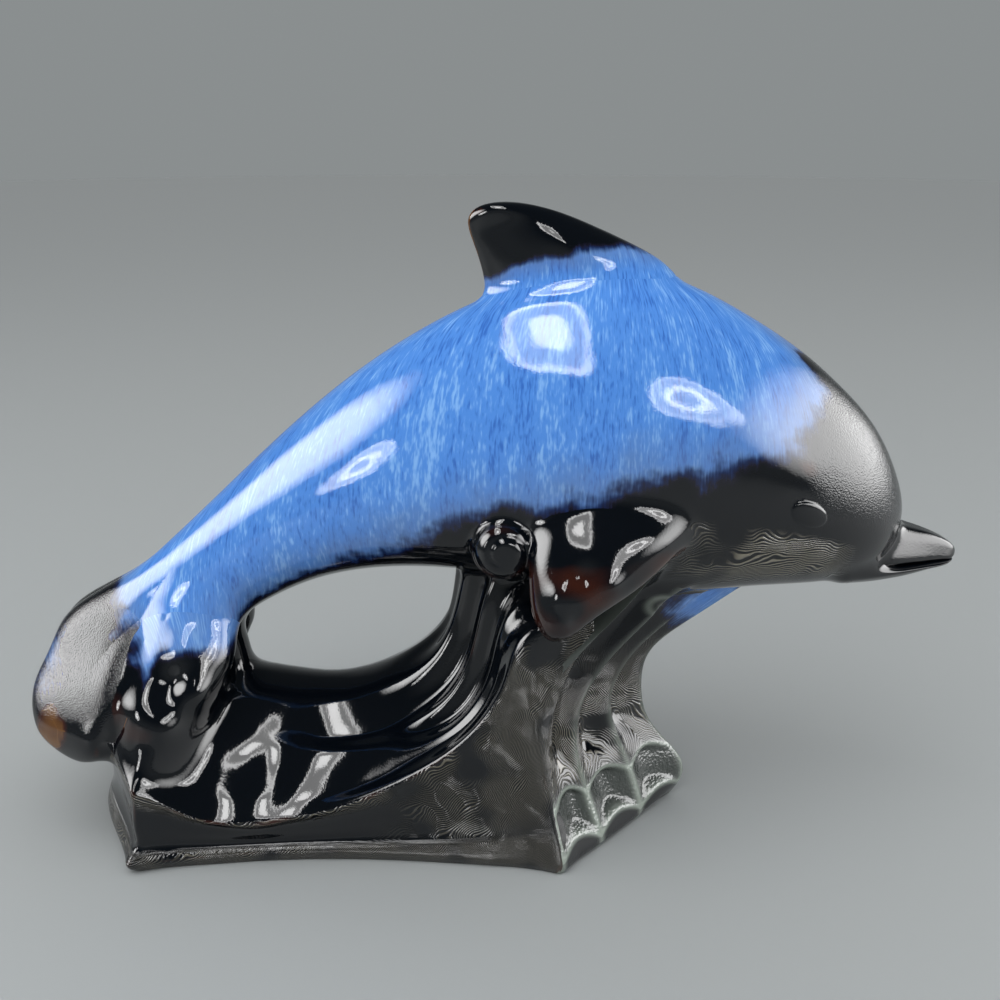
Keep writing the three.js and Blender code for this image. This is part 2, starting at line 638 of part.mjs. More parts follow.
const limbs = [...both(flipperShape), ...both(curlShape)];
const crest = cut(cut(crestShape, [bodySkin, ...limbs]), [crestHollow()], 0);
const crestBored = cut(crest, [drain()], 0);
const base = cut(cut(baseSkin, [bodySkin, crestShape, ...limbs]), [baseHollow()], 0);
const curl = cut(curlShape, [bodySkin, flipperShape]);
const foam = cut(foamShape, [bodySkin, flukeShape, baseSkin]);
const fluke = cut(flukeShape, [bodySkin, baseSkin]);

const blueGlaze = { color: glazeBlue, roughness: 0.08, metalness: 0 };
const blackGlaze = { color: glazeBlack, roughness: 0.06, metalness: 0 };

const pieces = {
  body_shell: [bodyShell(), blueGlaze],
  dorsal_fin: [cut(finShape, [bodySkin]), blackGlaze],
  upper_beak: [cut(beakShape, [bodySkin]), blackGlaze],
  lower_jaw: [cut(jawShape, [bodySkin, beakShape]), blackGlaze],
  right_eye: [cut(rightEye(), [bodySkin], clearance / 2), blackGlaze],
  left_eye: [mirror(cut(rightEye(), [bodySkin], clearance / 2)), blackGlaze],
  right_flipper: [cut(flipperShape, [bodySkin]), blackGlaze],
  left_flipper: [mirror(cut(flipperShape, [bodySkin])), blackGlaze],
  right_fluke: [fluke, blueGlaze],
  left_fluke: [mirror(fluke), blueGlaze],
  wave_base: [base, blackGlaze],
  wave_crest: [crestBored, blackGlaze],
  right_curl: [curl, blackGlaze],
  left_curl: [mirror(curl), blackGlaze],
  right_foam: [foam, blackGlaze],
  left_foam: [mirror(foam), blackGlaze],
  tail_post: [cut(postShape, [bodySkin, baseSkin, ...both(foamShape)]), blackGlaze],
};

const group = new THREE.Group();
for (const [name, [geometry, glaze]] of Object.entries(pieces)) {
  geometry.computeVertexNormals();
  const mesh = new THREE.Mesh(geometry, new THREE.MeshStandardMaterial(glaze));
  mesh.name = name;
  group.add(mesh);
}

// The origin is the middle of the footprint's box, on the table
const extent = new THREE.Box3().setFromObject(group);
const centre = extent.getCenter(vector());
group.position.set(-centre.x, -centre.y, -extent.min.z);

export default group;
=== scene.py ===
"""Ceramic dolphin leaping over a breaking wave, in a streaked blue glaze over black.

The potter casts or presses seventeen parts, lutes them together and glazes them, so here each part is a
surface of its own, in millimetres, and soft slip fillets run from each part into those it is luted to.
"""

import logging
import math
from dataclasses import dataclass, field
from enum import Enum

import bpy
import numpy as np
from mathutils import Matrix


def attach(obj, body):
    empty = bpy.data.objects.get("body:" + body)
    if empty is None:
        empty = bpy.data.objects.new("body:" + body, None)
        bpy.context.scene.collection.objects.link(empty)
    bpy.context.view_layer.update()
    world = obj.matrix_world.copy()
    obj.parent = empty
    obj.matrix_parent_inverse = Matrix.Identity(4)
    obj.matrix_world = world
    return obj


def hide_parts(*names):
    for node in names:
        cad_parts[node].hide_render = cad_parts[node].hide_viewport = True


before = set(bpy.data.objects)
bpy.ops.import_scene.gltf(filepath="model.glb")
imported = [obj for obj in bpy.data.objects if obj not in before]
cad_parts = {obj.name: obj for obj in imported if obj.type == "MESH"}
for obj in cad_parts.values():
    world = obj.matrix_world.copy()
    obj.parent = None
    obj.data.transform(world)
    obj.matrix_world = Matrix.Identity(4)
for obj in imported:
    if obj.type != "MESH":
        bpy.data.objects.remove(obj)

import openvdb
from mathutils import Matrix, Vector

log = logging.getLogger("dolphin")

METRE = 1000.0
# From the drawn place of the parts to the row's frame, in millimetres
CAST_SHIFT = np.array([1.223, 0.0, 0.0])
# What turns a point into its mirror image, and the way to the right-hand side
FLIP = np.array([1.0, -1.0, 1.0])
SIDEWAYS = np.array([0.0, -1.0, 0.0])
# Points that a closed curve repeats at each end, so that its bend runs through
RING_OVERLAP = 8


class Slot(Enum):
    """The record's three glaze slots."""

    BODY = "body_glaze"
    LIMB = "limb_glaze"
    WAVE = "wave_glaze"


# Curves and grids


def curve(points: np.ndarray, places: np.ndarray, knots: np.ndarray | None = None) -> np.ndarray:
    """Reads a natural cubic curve, whose bend runs smoothly through its points and is nil at both ends.

    Args:
        points: Points that the curve goes through, along the first axis.
        places: Places along the curve, in the unit of the knots.
        knots: Place of each point, or None for 0, 1, 2 and so on.

    Returns:
        The points at the places, with the other axes of points kept.
    """
    count = len(points)
    flat = points.reshape(count, -1)
    knots = np.arange(count, dtype=float) if knots is None else knots
    step = np.diff(knots)
    slope = np.diff(flat, axis=0) / step[:, None]
    matrix = np.eye(count)
    right = np.zeros_like(flat)
    inner = np.arange(1, count - 1)
    matrix[inner, inner - 1] = step[:-1]
    matrix[inner, inner] = 2 * (step[:-1] + step[1:])
    matrix[inner, inner + 1] = step[1:]
    right[inner] = 6 * np.diff(slope, axis=0)
    bend = np.linalg.solve(matrix, right)
    span = np.clip(np.searchsorted(knots, places, side="right") - 1, 0, count - 2)
    width = step[span][:, None]
    ahead = ((places - knots[span])[:, None]) / width
    behind = 1 - ahead
    value = behind * flat[span] + ahead * flat[span + 1]
    value += width**2 / 6 * ((behind**3 - behind) * bend[span] + (ahead**3 - ahead) * bend[span + 1])
    return value.reshape(len(places), *points.shape[1:])


def ring_curve(points: np.ndarray, places: np.ndarray) -> np.ndarray:
    """Reads a closed smooth curve, with its points repeated at both ends so that the bend runs through.

    Args:
        points: Points round the curve, along the first axis.
        places: Places along it, with 1 from each point to the next.

    Returns:
        The points at the places.
    """
    lead = min(RING_OVERLAP, len(points))
    wrapped = np.concatenate([points[-lead:], points, points[:lead]])
    return curve(wrapped, np.mod(places, len(points)) + lead)


def ease(value: np.ndarray) -> np.ndarray:
    """Eases from 0 to 1 with the cubic 3v^2 - 2v^3, flat outside."""
    value = np.clip(value, 0, 1)
    return value * value * (3 - 2 * value)


def hump(place: np.ndarray, centre: float, width: float) -> np.ndarray:
    """A bell of height 1 about a centre, exp(-(distance / width)^2)."""
    return np.exp(-(((place - centre) / width) ** 2))


def unit(vectors: np.ndarray) -> np.ndarray:
    """Each vector at length 1."""
    return vectors / np.maximum(np.linalg.norm(vectors, axis=-1, keepdims=True), 1e-12)


@dataclass
class Clay:
    """A closed surface of one part, in millimetres, before it becomes a mesh.

    Attributes:
        name: Name of the part.
        points: Corners, one row each.
        faces: Corner numbers of each face, with -1 as the fourth of a triangle.
        marks: Values at the corners that the glazes read, by name.
        shading: Normals that the light sees, or None for those of the faces.
    """

    name: str
    points: np.ndarray
    faces: np.ndarray
    marks: dict[str, np.ndarray] = field(default_factory=dict)
    shading: np.ndarray | None = None

    # Corners that lie in the same one of this many steps to the millimetre are merged
    STEPS = 1e4
    # Bend in 1/mm at which a ridge starts to wear, and how much more bend wears it through
    WORN_FROM = 0.14
    WORN_OVER = 0.2

    @classmethod
    def from_grid(cls, name: str, grid: np.ndarray, marks: dict[str, np.ndarray]) -> "Clay":
        """Skins a grid of points with four-cornered faces, merges equal corners and turns the skin outwards.

        Args:
            name: Name of the part.
            grid: Points, rows by columns by three. The last column joins the first, and a row at one point
                is a pole.
            marks: Values on the same grid.

        Returns:
            The part's closed surface.
        """
        rows, columns = grid.shape[:2]
        number = np.arange(rows * columns).reshape(rows, columns)
        ahead = np.roll(number, -1, axis=1)
        faces = np.stack([number[:-1], ahead[:-1], ahead[1:], number[1:]], axis=-1).reshape(-1, 4)
        flat = grid.reshape(-1, 3)
        keys = np.round(flat * cls.STEPS).astype(np.int64)
        _, first, same = np.unique(keys, axis=0, return_index=True, return_inverse=True)
        faces = same.reshape(-1)[faces]
        shape = cls(name, flat[first], cls.tidy(faces))
        for key, value in marks.items():
            shape.marks[key] = value.reshape(rows * columns, *value.shape[2:])[first]
        if shape.volume() < 0:
            shape.faces = cls.turned(shape.faces)
        return shape

    @staticmethod
    def tidy(faces: np.ndarray) -> np.ndarray:
        """Makes a face with two equal corners a triangle, and drops one with fewer than three.

        Args:
            faces: Four corner numbers of each face.

        Returns:
            The faces, with -1 as the fourth corner of a triangle.
        """
        same = faces == np.roll(faces, -1, axis=1)
        count = same.sum(axis=1)
        whole = faces[count == 0]
        pinched = faces[count == 1]
        spare = np.argmax(same[count == 1], axis=1)
        order = (spare[:, None] + 1 + np.arange(3)[None, :]) % 4
        corners = np.take_along_axis(pinched, order, axis=1)
        corners = corners[np.all(corners != np.roll(corners, -1, axis=1), axis=1)]
        triangles = np.concatenate([corners, np.full((len(corners), 1), -1)], axis=1)
        return np.concatenate([whole, triangles])

    @staticmethod
    def turned(faces: np.ndarray) -> np.ndarray:
        """The same faces with their corners in the other order.

        Args:
            faces: Corner numbers, with -1 as the fourth of a triangle.

        Returns:
            The faces, turned over.
        """
        quads = faces[:, 3] >= 0
        flipped = faces.copy()
        flipped[quads] = faces[quads][:, ::-1]
        flipped[~quads, :3] = faces[~quads, 2::-1]
        return flipped

    def triangles(self) -> np.ndarray:
        """All faces as triangles, each four-cornered one split along its diagonal."""
        quads = self.faces[self.faces[:, 3] >= 0]
        return np.concatenate([self.faces[:, :3], quads[:, [0, 2, 3]]])

    def volume(self) -> float:
        """Volume inside, as the sum over triangles of a . (b x c) / 6."""
        a, b, c = (self.points[self.triangles()[:, k]] for k in range(3))
        return float(np.einsum("ij,ij->", a, np.cross(b, c)) / 6)

    def normals(self) -> np.ndarray:
        """Unit normals at the corners, the sum of the triangles round each, weighed by their areas.

        Returns:
            One normal for each corner.
        """
        triangles = self.triangles()
        a, b, c = (self.points[triangles[:, k]] for k in range(3))
        area = np.cross(b - a, c - a)
        total = np.zeros_like(self.points)
        for k in range(3):
            for axis in range(3):
                total[:, axis] += np.bincount(triangles[:, k], area[:, axis], len(self.points))
        return unit(total)

    def edges(self) -> np.ndarray:
        """Finds each edge once.

        Returns:
            Pairs of corner numbers.
        """
        faces = self.faces
        closing = np.where(faces[:, 3] >= 0, faces[:, 3], faces[:, 0])
        pairs = [faces[:, [0, 1]], faces[:, [1, 2]], np.stack([faces[:, 2], closing], 1)]
        pairs.append(faces[faces[:, 3] >= 0][:, [3, 0]])
        return np.unique(np.sort(np.concatenate(pairs), axis=1), axis=0)

    def blurred(self, values: np.ndarray, rounds: int) -> np.ndarray:
        """Evens values out over the surface, each round half way to the mean of the neighbours.

        Args:
            values: One value for each corner.
            rounds: How often they are evened out.

        Returns:
            The new values.
        """
        edges = self.edges()
        both = np.concatenate([edges, edges[:, ::-1]])
        count = np.maximum(np.bincount(both[:, 0], minlength=len(self.points)), 1)
        for _ in range(rounds):
            mean = np.bincount(both[:, 0], values[both[:, 1]], len(self.points)) / count
            values = (values + mean) / 2
        return values

    def sharpness(self) -> np.ndarray:
        """How sharply the skin bends outwards: the mean fall of the edges below the tangent plane.

        An edge e from a corner with the normal n falls by -2 e . n / |e|^2.

        Returns:
            The bend at each corner, in 1/mm.
        """
        edges = self.edges()
        both = np.concatenate([edges, edges[:, ::-1]])
        normal = self.normals()
        across = self.points[both[:, 1]] - self.points[both[:, 0]]
        length = np.maximum(np.einsum("ij,ij->i", across, across), 1e-6)
        fall = -2 * np.einsum("ij,ij->i", across, normal[both[:, 0]]) / length
        count = np.maximum(np.bincount(both[:, 0], minlength=len(self.points)), 1)
        return self.blurred(np.bincount(both[:, 0], np.clip(fall, -2, 2), len(self.points)) / count, 3)

    def wear(self, strength: float) -> None:
        """Marks the sharp ridges brown, where the glaze runs thin."""
        worn = strength * ease((self.sharpness() - self.WORN_FROM) / self.WORN_OVER)
        self.marks["brown"] = np.maximum(self.marks.get("brown", 0), worn)

    def lump(self, lumps: tuple) -> None:
        """Raises lumps and sinks hollows in the skin on both sides.

        Each is a hump of the distance from its place, and fades where the skin faces along or up.

        Args:
            lumps: Place along, place up, reach and height of each, in millimetres.
        """
        normal = self.normals()
        swell = np.zeros(len(self.points))
        for x, z, reach, height in lumps:
            off = np.hypot(self.points[:, 0] - x, self.points[:, 2] - z)
            swell += height * hump(off, 0, reach) * ease(3 * np.abs(normal[:, 1]))
        self.points = self.points + normal * self.blurred(swell, 6)[:, None]

    def mirrored(self, name: str) -> "Clay":
        """The same part on the other side of the mid-plane."""
        return Clay(name, self.points * FLIP, self.turned(self.faces), dict(self.marks), self.shading * FLIP)


@dataclass
class Field:
    """Distance to a part's skin on a block of small cells, negative inside.

    Attributes:
        origin: Cell number of the block's first cell.
        block: Distances at the cells, in millimetres.
        far: Distance that stands for anything further off.
    """

    # Size of a cell in millimetres, and how many cells deep the block is on each side of the skin
    CELL = 0.8
    REACH = 19

    origin: np.ndarray
    block: np.ndarray
    far: float

    @classmethod
    def of(cls, clay: Clay) -> "Field":
        """Measures the distances about a part with a level set.

        Args:
            clay: The part.

        Returns:
            The field, with three spare cells round it.
        """
        level = openvdb.FloatGrid.createLevelSetFromPolygons(
            clay.points.astype(np.float32),
            triangles=clay.triangles().astype(np.uint32),
            transform=openvdb.createLinearTransform(voxelSize=cls.CELL),
            halfWidth=float(cls.REACH),
        )
        low, high = (np.array(corner) for corner in level.evalActiveVoxelBoundingBox())
        low = low - 3
        block = np.zeros(high - low + 4, np.float32)
        level.copyToArray(block, ijk=tuple(int(value) for value in low))
        return cls(low, block, cls.CELL * cls.REACH)

    def at(self, points: np.ndarray) -> np.ndarray:
        """Reads the distances at points, by quadratic weights over the 27 nearest cells.

        With d the offset from the nearest cell, the weights along each axis are (0.5 - d)^2 / 2,
        0.75 - d^2 and (0.5 + d)^2 / 2, so the slopes are smooth too.

        Args:
            points: Points, one row each, in millimetres.

        Returns:
            The distance at each point.
        """
        place = points / self.CELL - self.origin
        nearest = np.rint(place).astype(int)
        inside = np.all((nearest >= 1) & (nearest < np.array(self.block.shape) - 1), axis=1)
        nearest = np.clip(nearest, 1, np.array(self.block.shape) - 2)
        offset = np.clip(place - nearest, -0.5, 0.5)
        weights = [(0.5 - offset) ** 2 / 2, 0.75 - offset**2, (0.5 + offset) ** 2 / 2]
        total = np.zeros(len(points))
        for i in range(3):
            for j in range(3):
                for k in range(3):
                    weight = weights[i][:, 0] * weights[j][:, 1] * weights[k][:, 2]
                    total += weight * self.block[tuple((nearest + [i - 1, j - 1, k - 1]).T)]
        return np.where(inside, total, self.far)


@dataclass(frozen=True)
class Luting:
    """A fillet of slip between two parts.

    Attributes:
        first: One part.
        second: The part that it is luted to.
        reach: How far from the joint the fillet starts, in millimetres.
    """

    first: str
    second: str
    reach: float


class Slip:
    """Runs the fillets of slip between the parts."""

    # How far a skin slides under its neighbour, and how far apart a slope is measured, in millimetres
    OVERLAP = 2.5
    PROBE = 0.8

    def __init__(self, parts: dict[str, Clay], lutings: list[Luting]) -> None:
        """Measures every luted part before any fillet is run.

        Args:
            parts: The parts by name, the paired ones on the right-hand side.
            lutings: The joints.
        """
        self.parts = parts
        self.lutings = lutings
        luted = {name for luting in lutings for name in (luting.first, luting.second)}
        self.fields = {name: Field.of(parts[name]) for name in sorted(luted)}

    def distance(self, name: str, points: np.ndarray) -> np.ndarray:
        """Distance to a part, or to its pair on the side where each point is.

        Args:
            name: The part.
            points: Points, one row each.

        Returns:
            The distance at each point, in millimetres.
        """
        if name.startswith("right_"):
            points = np.stack([points[:, 0], -np.abs(points[:, 1]), points[:, 2]], axis=1)
        return self.fields[name].at(points)

    def run(self, name: str) -> None:
        """Swells a part's skin into the fillets to its neighbours.

        A point at distance x from a neighbour, whose distance grows by c for each millimetre along the
        normal, rises by t = (r - x)^2 / (B + sqrt(B^2 - k^2 (r - x)^2)), with k = 1 - c, r the reach and
        B = k x + r (2 - k). That is where both skins would meet a fillet shaped as a parabola. Past the
        joint, which is the plane midway between both skins, the rest of the rise e is drawn in to
        o (1 - exp(-e / o)), so each skin slides under the other with no crease where they cross.

        Args:
            name: The part.
        """
        clay = self.parts[name]
        normal = clay.normals()
        mine = [luting for luting in self.lutings if name in (luting.first, luting.second)]
        reaches = {luting.second if luting.first == name else luting.first: luting.reach for luting in mine}
        rise = np.max([self.rise(clay, normal, other, reach) for other, reach in reaches.items()], axis=0)
        rise = clay.blurred(rise, 1)
        clay.points = clay.points + normal * rise[:, None]
        clay.points[:, 2] = np.maximum(clay.points[:, 2], 0)
        clay.shading = self.shading(clay, normal, rise, reaches)

    def shading(self, clay: Clay, own: np.ndarray, rise: np.ndarray, reaches: dict[str, float]) -> np.ndarray:
        """Normals of the fillets, the same on both parts where they meet, so that no seam shows.

        A point of a fillet with reach r, which stands a off its own part's skin and b off the neighbour's,
        has the share (1 + (b - a) / r) / 2 of its own part's normal and the rest of the neighbour's. That
        is the normal of the parabola.

        Args:
            clay: The part, with its points already raised.
            own: Normals of its own skin.
            rise: How far each point was raised.
            reaches: Reach of the fillet to each neighbour.

        Returns:
            A unit normal for each point.
        """
        blend = own.copy()
        least = np.ones(len(own))
        for other, reach in reaches.items():
            share = np.clip((1 + (self.distance(other, clay.points) - rise) / reach) / 2, 0, 1)
            near = share < least
            points = clay.points[near]
            slope = [self.distance(other, points + way) - self.distance(other, points - way)
                     for way in np.eye(3) * self.PROBE / 2]
            weight = share[near, None]
            blend[near] = unit(weight * own[near] + (1 - weight) * unit(np.stack(slope, axis=1)))
            least[near] = share[near]
        return blend

    def rise(self, clay: Clay, normal: np.ndarray, other: str, reach: float) -> np.ndarray:
        """How far each point of a skin rises towards one neighbour, by the rule given for run.

        Args:
            clay: The part.
            normal: Normals of its skin.
            other: The neighbour.
            reach: Reach of the fillet.

        Returns:
            The rise at each point, in millimetres.
        """
        near = self.distance(other, clay.points)
        close = np.abs(near) < min(reach, self.fields[other].far - 1)
        found = np.zeros(len(clay.points))
        points = clay.points[close]
        outward = normal[close]
        start = near[close]
        growth = self.distance(other, points + outward * self.PROBE) - start
        slope = np.clip(growth / self.PROBE, -1, 0.98)
        for _ in range(3):
            k = 1 - slope
            gap = np.maximum(reach - start, 0)
            middle = np.maximum(k * start + reach * (2 - k), 1e-3)
            height = gap**2 / (middle + np.sqrt(np.maximum(middle**2 - k**2 * gap**2, 0)))
            joint = start / k
            past = np.maximum(height - joint, 0)
            height = np.minimum(height, joint) + self.OVERLAP * (1 - np.exp(-past / self.OVERLAP))
            height = np.clip(height, 0, reach)
            step = np.maximum(height, self.PROBE / 2)
            growth = self.distance(other, points + outward * step[:, None]) - start
            slope = np.clip(growth / step, -1, 0.98)
        found[close] = height
        return found


# The dolphin


@dataclass
class Limb:
    """A fin, flipper, fluke, beak or jaw, as a closed outline with a thickness across it.

    Attributes:
        name: Name of the part.
        lead: Points of the leading edge from the root to the tip, in millimetres.
        trail: Points of the trailing edge, which ends at the same tip.
        half: Half thickness at each point.
        power: How square the section is; 2 is an oval.
        across: Direction of the thickness, or None to take it square to the blade.
        flare: How much thicker the section is towards the trailing edge.
        rows: Rows of the grid from root to tip.
        columns: Points round each section.
    """

    name: str
    lead: np.ndarray
    trail: np.ndarray
    half: np.ndarray
    power: float = 2.0
    across: np.ndarray | None = None
    flare: float = 0.0
    rows: int = 110
    columns: int = 160

    def clay(self) -> Clay:
        """Sweeps the section along the limb.

        The outline is one smooth curve from the root round the tip and back, and the half thickness goes
        on through the tip with its sign turned, which makes the tip round. A section point at angle a is
        the middle, plus half the chord times cos a, plus the half thickness times sin a, both drawn
        towards a square by the power 2 / p, and the thickness times 1 - flare times the share of the chord.
        Over the last three tenths of the limb the section eases back to an oval.

        Returns:
            The limb's closed surface.
        """
        last = len(self.lead) - 1
        place = last * np.sin(np.linspace(0, np.pi / 2, self.rows))
        outline = np.concatenate([self.lead, self.trail[-2::-1]])
        width = np.concatenate([self.half, -self.half[-2::-1]])
        lead = curve(outline, place)
        trail = curve(outline, 2 * last - place)
        half = curve(width[:, None], place)
        middle = (lead + trail) / 2
        chord = (lead - trail) / 2
        normal = self.square(place) if self.across is None else np.broadcast_to(self.across, middle.shape)
        angle = np.linspace(0, 2 * np.pi, self.columns, endpoint=False)
        power = 2 + (self.power - 2) * (1 - ease((place / last - 0.7) / 0.3))
        power = power[:, None]
        rise = np.sign(np.cos(angle)) * np.abs(np.cos(angle)) ** (2 / power)
        spread = np.sign(np.sin(angle)) * np.abs(np.sin(angle)) ** (2 / power) * (1 - self.flare * rise)
        grid = middle[:, None] + chord[:, None] * rise[..., None]
        grid = grid + (normal * half)[:, None] * spread[..., None]
        root = np.broadcast_to(middle[:1, None], (1, self.columns, 3))
        grid = np.concatenate([root, grid])
        return Clay.from_grid(self.name, grid, {"flow": self.flow(grid)})

    def square(self, place: np.ndarray) -> np.ndarray:
        """Direction square to the blade, read smoothly from the chord crossed with the way to the tip.

        Args:
            place: Places from the root to the tip, with 1 from each drawn point to the next.

        Returns:
            A unit vector for each place.
        """
        chord = self.lead - self.trail
        middle = (self.lead + self.trail) / 2
        way = np.gradient(middle, axis=0)
        normal = unit(np.cross(chord[:-1], way[:-1]))
        normal = np.concatenate([normal, normal[-1:]])
        return unit(curve(normal, place))

    @staticmethod
    def flow(grid: np.ndarray) -> np.ndarray:
        """Place along and across the way that the glaze runs, straight down."""
        return np.stack([grid[..., 0] + 0.4 * grid[..., 1], grid[..., 2], 0.05 * grid[..., 1]], axis=-1)


@dataclass
class Dolphin:
    """Head, trunk and limbs, in millimetres. The side view is drawn in hundredths of length and height."""

    length: float = 231.4
    height: float = 155.8
    width: float = 64.0
    # How much wider the trunk is below its middle than above it, and the rows and columns of its skin
    flare: float = 0.12
    rows: int = 380
    columns: int = 240
    # Outline of the back and of the belly from the tail to the head, and the width as a share of the
    # greatest at each of their points
    back: tuple = (
        (-52.3, 33.7), (-51.6, 37.2), (-47.8, 41.5), (-44.1, 45.8), (-39.5, 51.9), (-33.3, 60.5),
        (-25.3, 71.6), (-16.4, 82.4), (-6.5, 91.5), (3.5, 97.6), (13, 100), (21.2, 97.2), (28.5, 91.7),
        (34.6, 85.8), (39.5, 79.6), (43.2, 73.7), (45.8, 67.3), (47.3, 61.5), (47.7, 56.8),
    )
    belly: tuple = (
        (-52.3, 33.7), (-48.2, 29.2), (-42.8, 28.6), (-37.4, 32.4), (-30.3, 38.8), (-21.6, 45.3),
        (-11.2, 48), (-1.3, 47.1), (7.1, 44.9), (14.3, 43.4), (19.4, 42.9), (24.2, 43.3), (29, 44),
        (33.7, 44.4), (38, 44.8), (41.7, 45.8), (44.7, 48.1), (46.7, 52.3), (47.7, 56.8),
    )
    widths: tuple = (
        0, 0.17, 0.26, 0.32, 0.4, 0.52, 0.7, 0.86, 0.95, 1, 1, 0.96, 0.9, 0.82, 0.72, 0.59, 0.42, 0.22, 0,
    )

    fin_length: float = 46.0
    fin_height: float = 17.5
    fin_thickness: float = 15.0
    flipper_length: float = 32.0
    flipper_root: float = 38.0
    flipper_thickness: float = 15.0
    fluke_length: float = 45.0
    fluke_chord: float = 23.0
    fluke_thickness: float = 12.0
    beak_length: float = 16.5
    beak_width: float = 13.2
    beak_thickness: float = 9.5
    mouth_drop: float = 12.5
    jaw_length: float = 17.0
    jaw_width: float = 17.0
    jaw_thickness: float = 7.0
    eye_length: float = 10.0
    eye_height: float = 5.6
    eye_bulge: float = 0.6

    # Where the limbs sit on the body, as share of its length and angle down from the back, and for the eye
    # its middle, a place ahead of that and one below it
    fin_share: float = 0.53
    fluke_share: float = 0.112
    flipper_place: tuple[float, float] = (0.512, 1.98)
    eye_places: tuple = ((0.722, 1.72), (0.742, 1.74), (0.722, 1.85))
    # Lumps and hollows of the fin and of the flipper, for Clay.lump
    fin_lumps: tuple = ((15.0, 163.0, 4.0, 0.75), (19.5, 160.8, 4.0, 0.75), (24.0, 158.6, 4.0, 0.75))
    flipper_lumps: tuple = (
        (21.0, 86.0, 2.6, -0.9), (27.0, 83.0, 3.2, 1.0), (15.0, 81.0, 3.0, 0.9), (19.0, 75.5, 2.6, -0.8),
    )
    # Lower edge of the blue glaze, as share of the body's length and angle down from the back
    blue_shares: tuple = (
        0.05, 0.088, 0.11, 0.17, 0.223, 0.276, 0.338, 0.386, 0.434, 0.476, 0.544, 0.586, 0.632, 0.682,
        0.72, 0.8,
    )
    blue_angles: tuple = (
        1.3, 1.6, 2.74, 2.91, 2.5, 2.4, 2.14, 1.93, 1.79, 1.78, 1.71, 1.66, 1.54, 1.38, 1.24, 1.0,
    )
    # Front edge of the blue glaze on the head, as angle and share
    head_angles: tuple = (0, 0.26, 0.42, 0.6, 0.91, 1.18, 1.6)
    head_shares: tuple = (0.729, 0.717, 0.739, 0.744, 0.732, 0.71, 0.7)
    # How far the blue climbs the fin in millimetres, and the share of the length where it ends on the tail
    fin_blue_height: float = 6.0
    tail_share: float = 0.135
    # Place along and up of the blue lobe and of the brown spot on the fluke, in millimetres
    fluke_lobe: tuple[float, float] = (-124.0, 50.0)
    fluke_spot: tuple[float, float] = (-122.0, 35.0)
    # How much longer the skin is than its length along, on the average
    skin_stretch: float = 1.1
    # Angle down from the back at which each run of glaze is named
    run_angle: float = 1.6

    def scaled(self, points: tuple) -> np.ndarray:
        """Side-view hundredths as points in the mid-plane, in millimetres."""
        along, up = np.array(points, float).T / 100
        return np.stack([along * self.length, 0 * along, up * self.height], axis=1)

    def skin(self, share: np.ndarray, angle: np.ndarray) -> np.ndarray:
        """Points of the body's skin.

        The back and the belly are one closed smooth curve, and the half width goes on round it with its
        sign turned, so both ends are round. A point is the middle between back and belly, plus half their
        distance times cos a, plus the half width times sin a (1 - flare cos a) sideways.

        Args:
            share: Share of the body's length, rows.
            angle: Angle down from the back on the right-hand side, columns.

        Returns:
            A grid of points.
        """
        back = self.scaled(self.back)
        belly = self.scaled(self.belly)
        widths = np.array(self.widths) * self.width / 2
        last = len(back) - 1
        outline = np.concatenate([back, belly[-2:0:-1]])
        signed = np.concatenate([widths, -widths[-2:0:-1]])[:, None]
        place = share * last
        upper = ring_curve(outline, place)
        lower = ring_curve(outline, 2 * last - place)
        half = ring_curve(signed, place)
        middle = (upper + lower) / 2
        reach = (upper - lower) / 2
        flare = self.flare * ease(place / 2) * ease((last - place) / 2)
        rise = np.cos(angle)[None, :]
        spread = np.sin(angle)[None, :] * (1 - flare[:, None] * rise)
        points = middle[:, None] + reach[:, None] * rise[..., None]
        return points + half[:, None] * spread[..., None] * SIDEWAYS

    def skin_at(self, share: float, angle: float) -> np.ndarray:
        """One point of the body's right-hand skin."""
        return self.skin(np.array([share]), np.array([angle]))[0, 0]

    def body(self) -> Clay:
        """Head, trunk and tail stock as one slip-cast skin.

        Returns:
            The closed skin, marked for the glazes.
        """
        share = np.linspace(0, 1, self.rows)
        angle = np.linspace(0, 2 * np.pi, self.columns, endpoint=False)
        grid = self.skin(share, angle)
        down = np.minimum(angle, 2 * np.pi - angle)
        # Wavy lines with a painted pale sheen show on the throat, and a brown fleck lies above the eye
        throat = 1.6 * ease((share[:, None] - 0.55) / 0.05) * ease((0.82 - share[:, None]) / 0.08)
        marks = {
            "blue": self.blue_edge(share, down, grid),
            "flow": self.body_flow(share, down, grid),
            "grain": self.thin_glaze(share, down, grid),
            "brown": 0.6 * hump(share[:, None], 0.715, 0.017) * hump(down[None, :], 1.36, 0.1),
            "creep": 26 * down[None, :] + 25 * share[:, None],
            "lined": throat * ease((down[None, :] - 1.88) / 0.12) * ease((2.6 - down[None, :]) / 0.3),
        }
        return Clay.from_grid("body_shell", grid, marks)

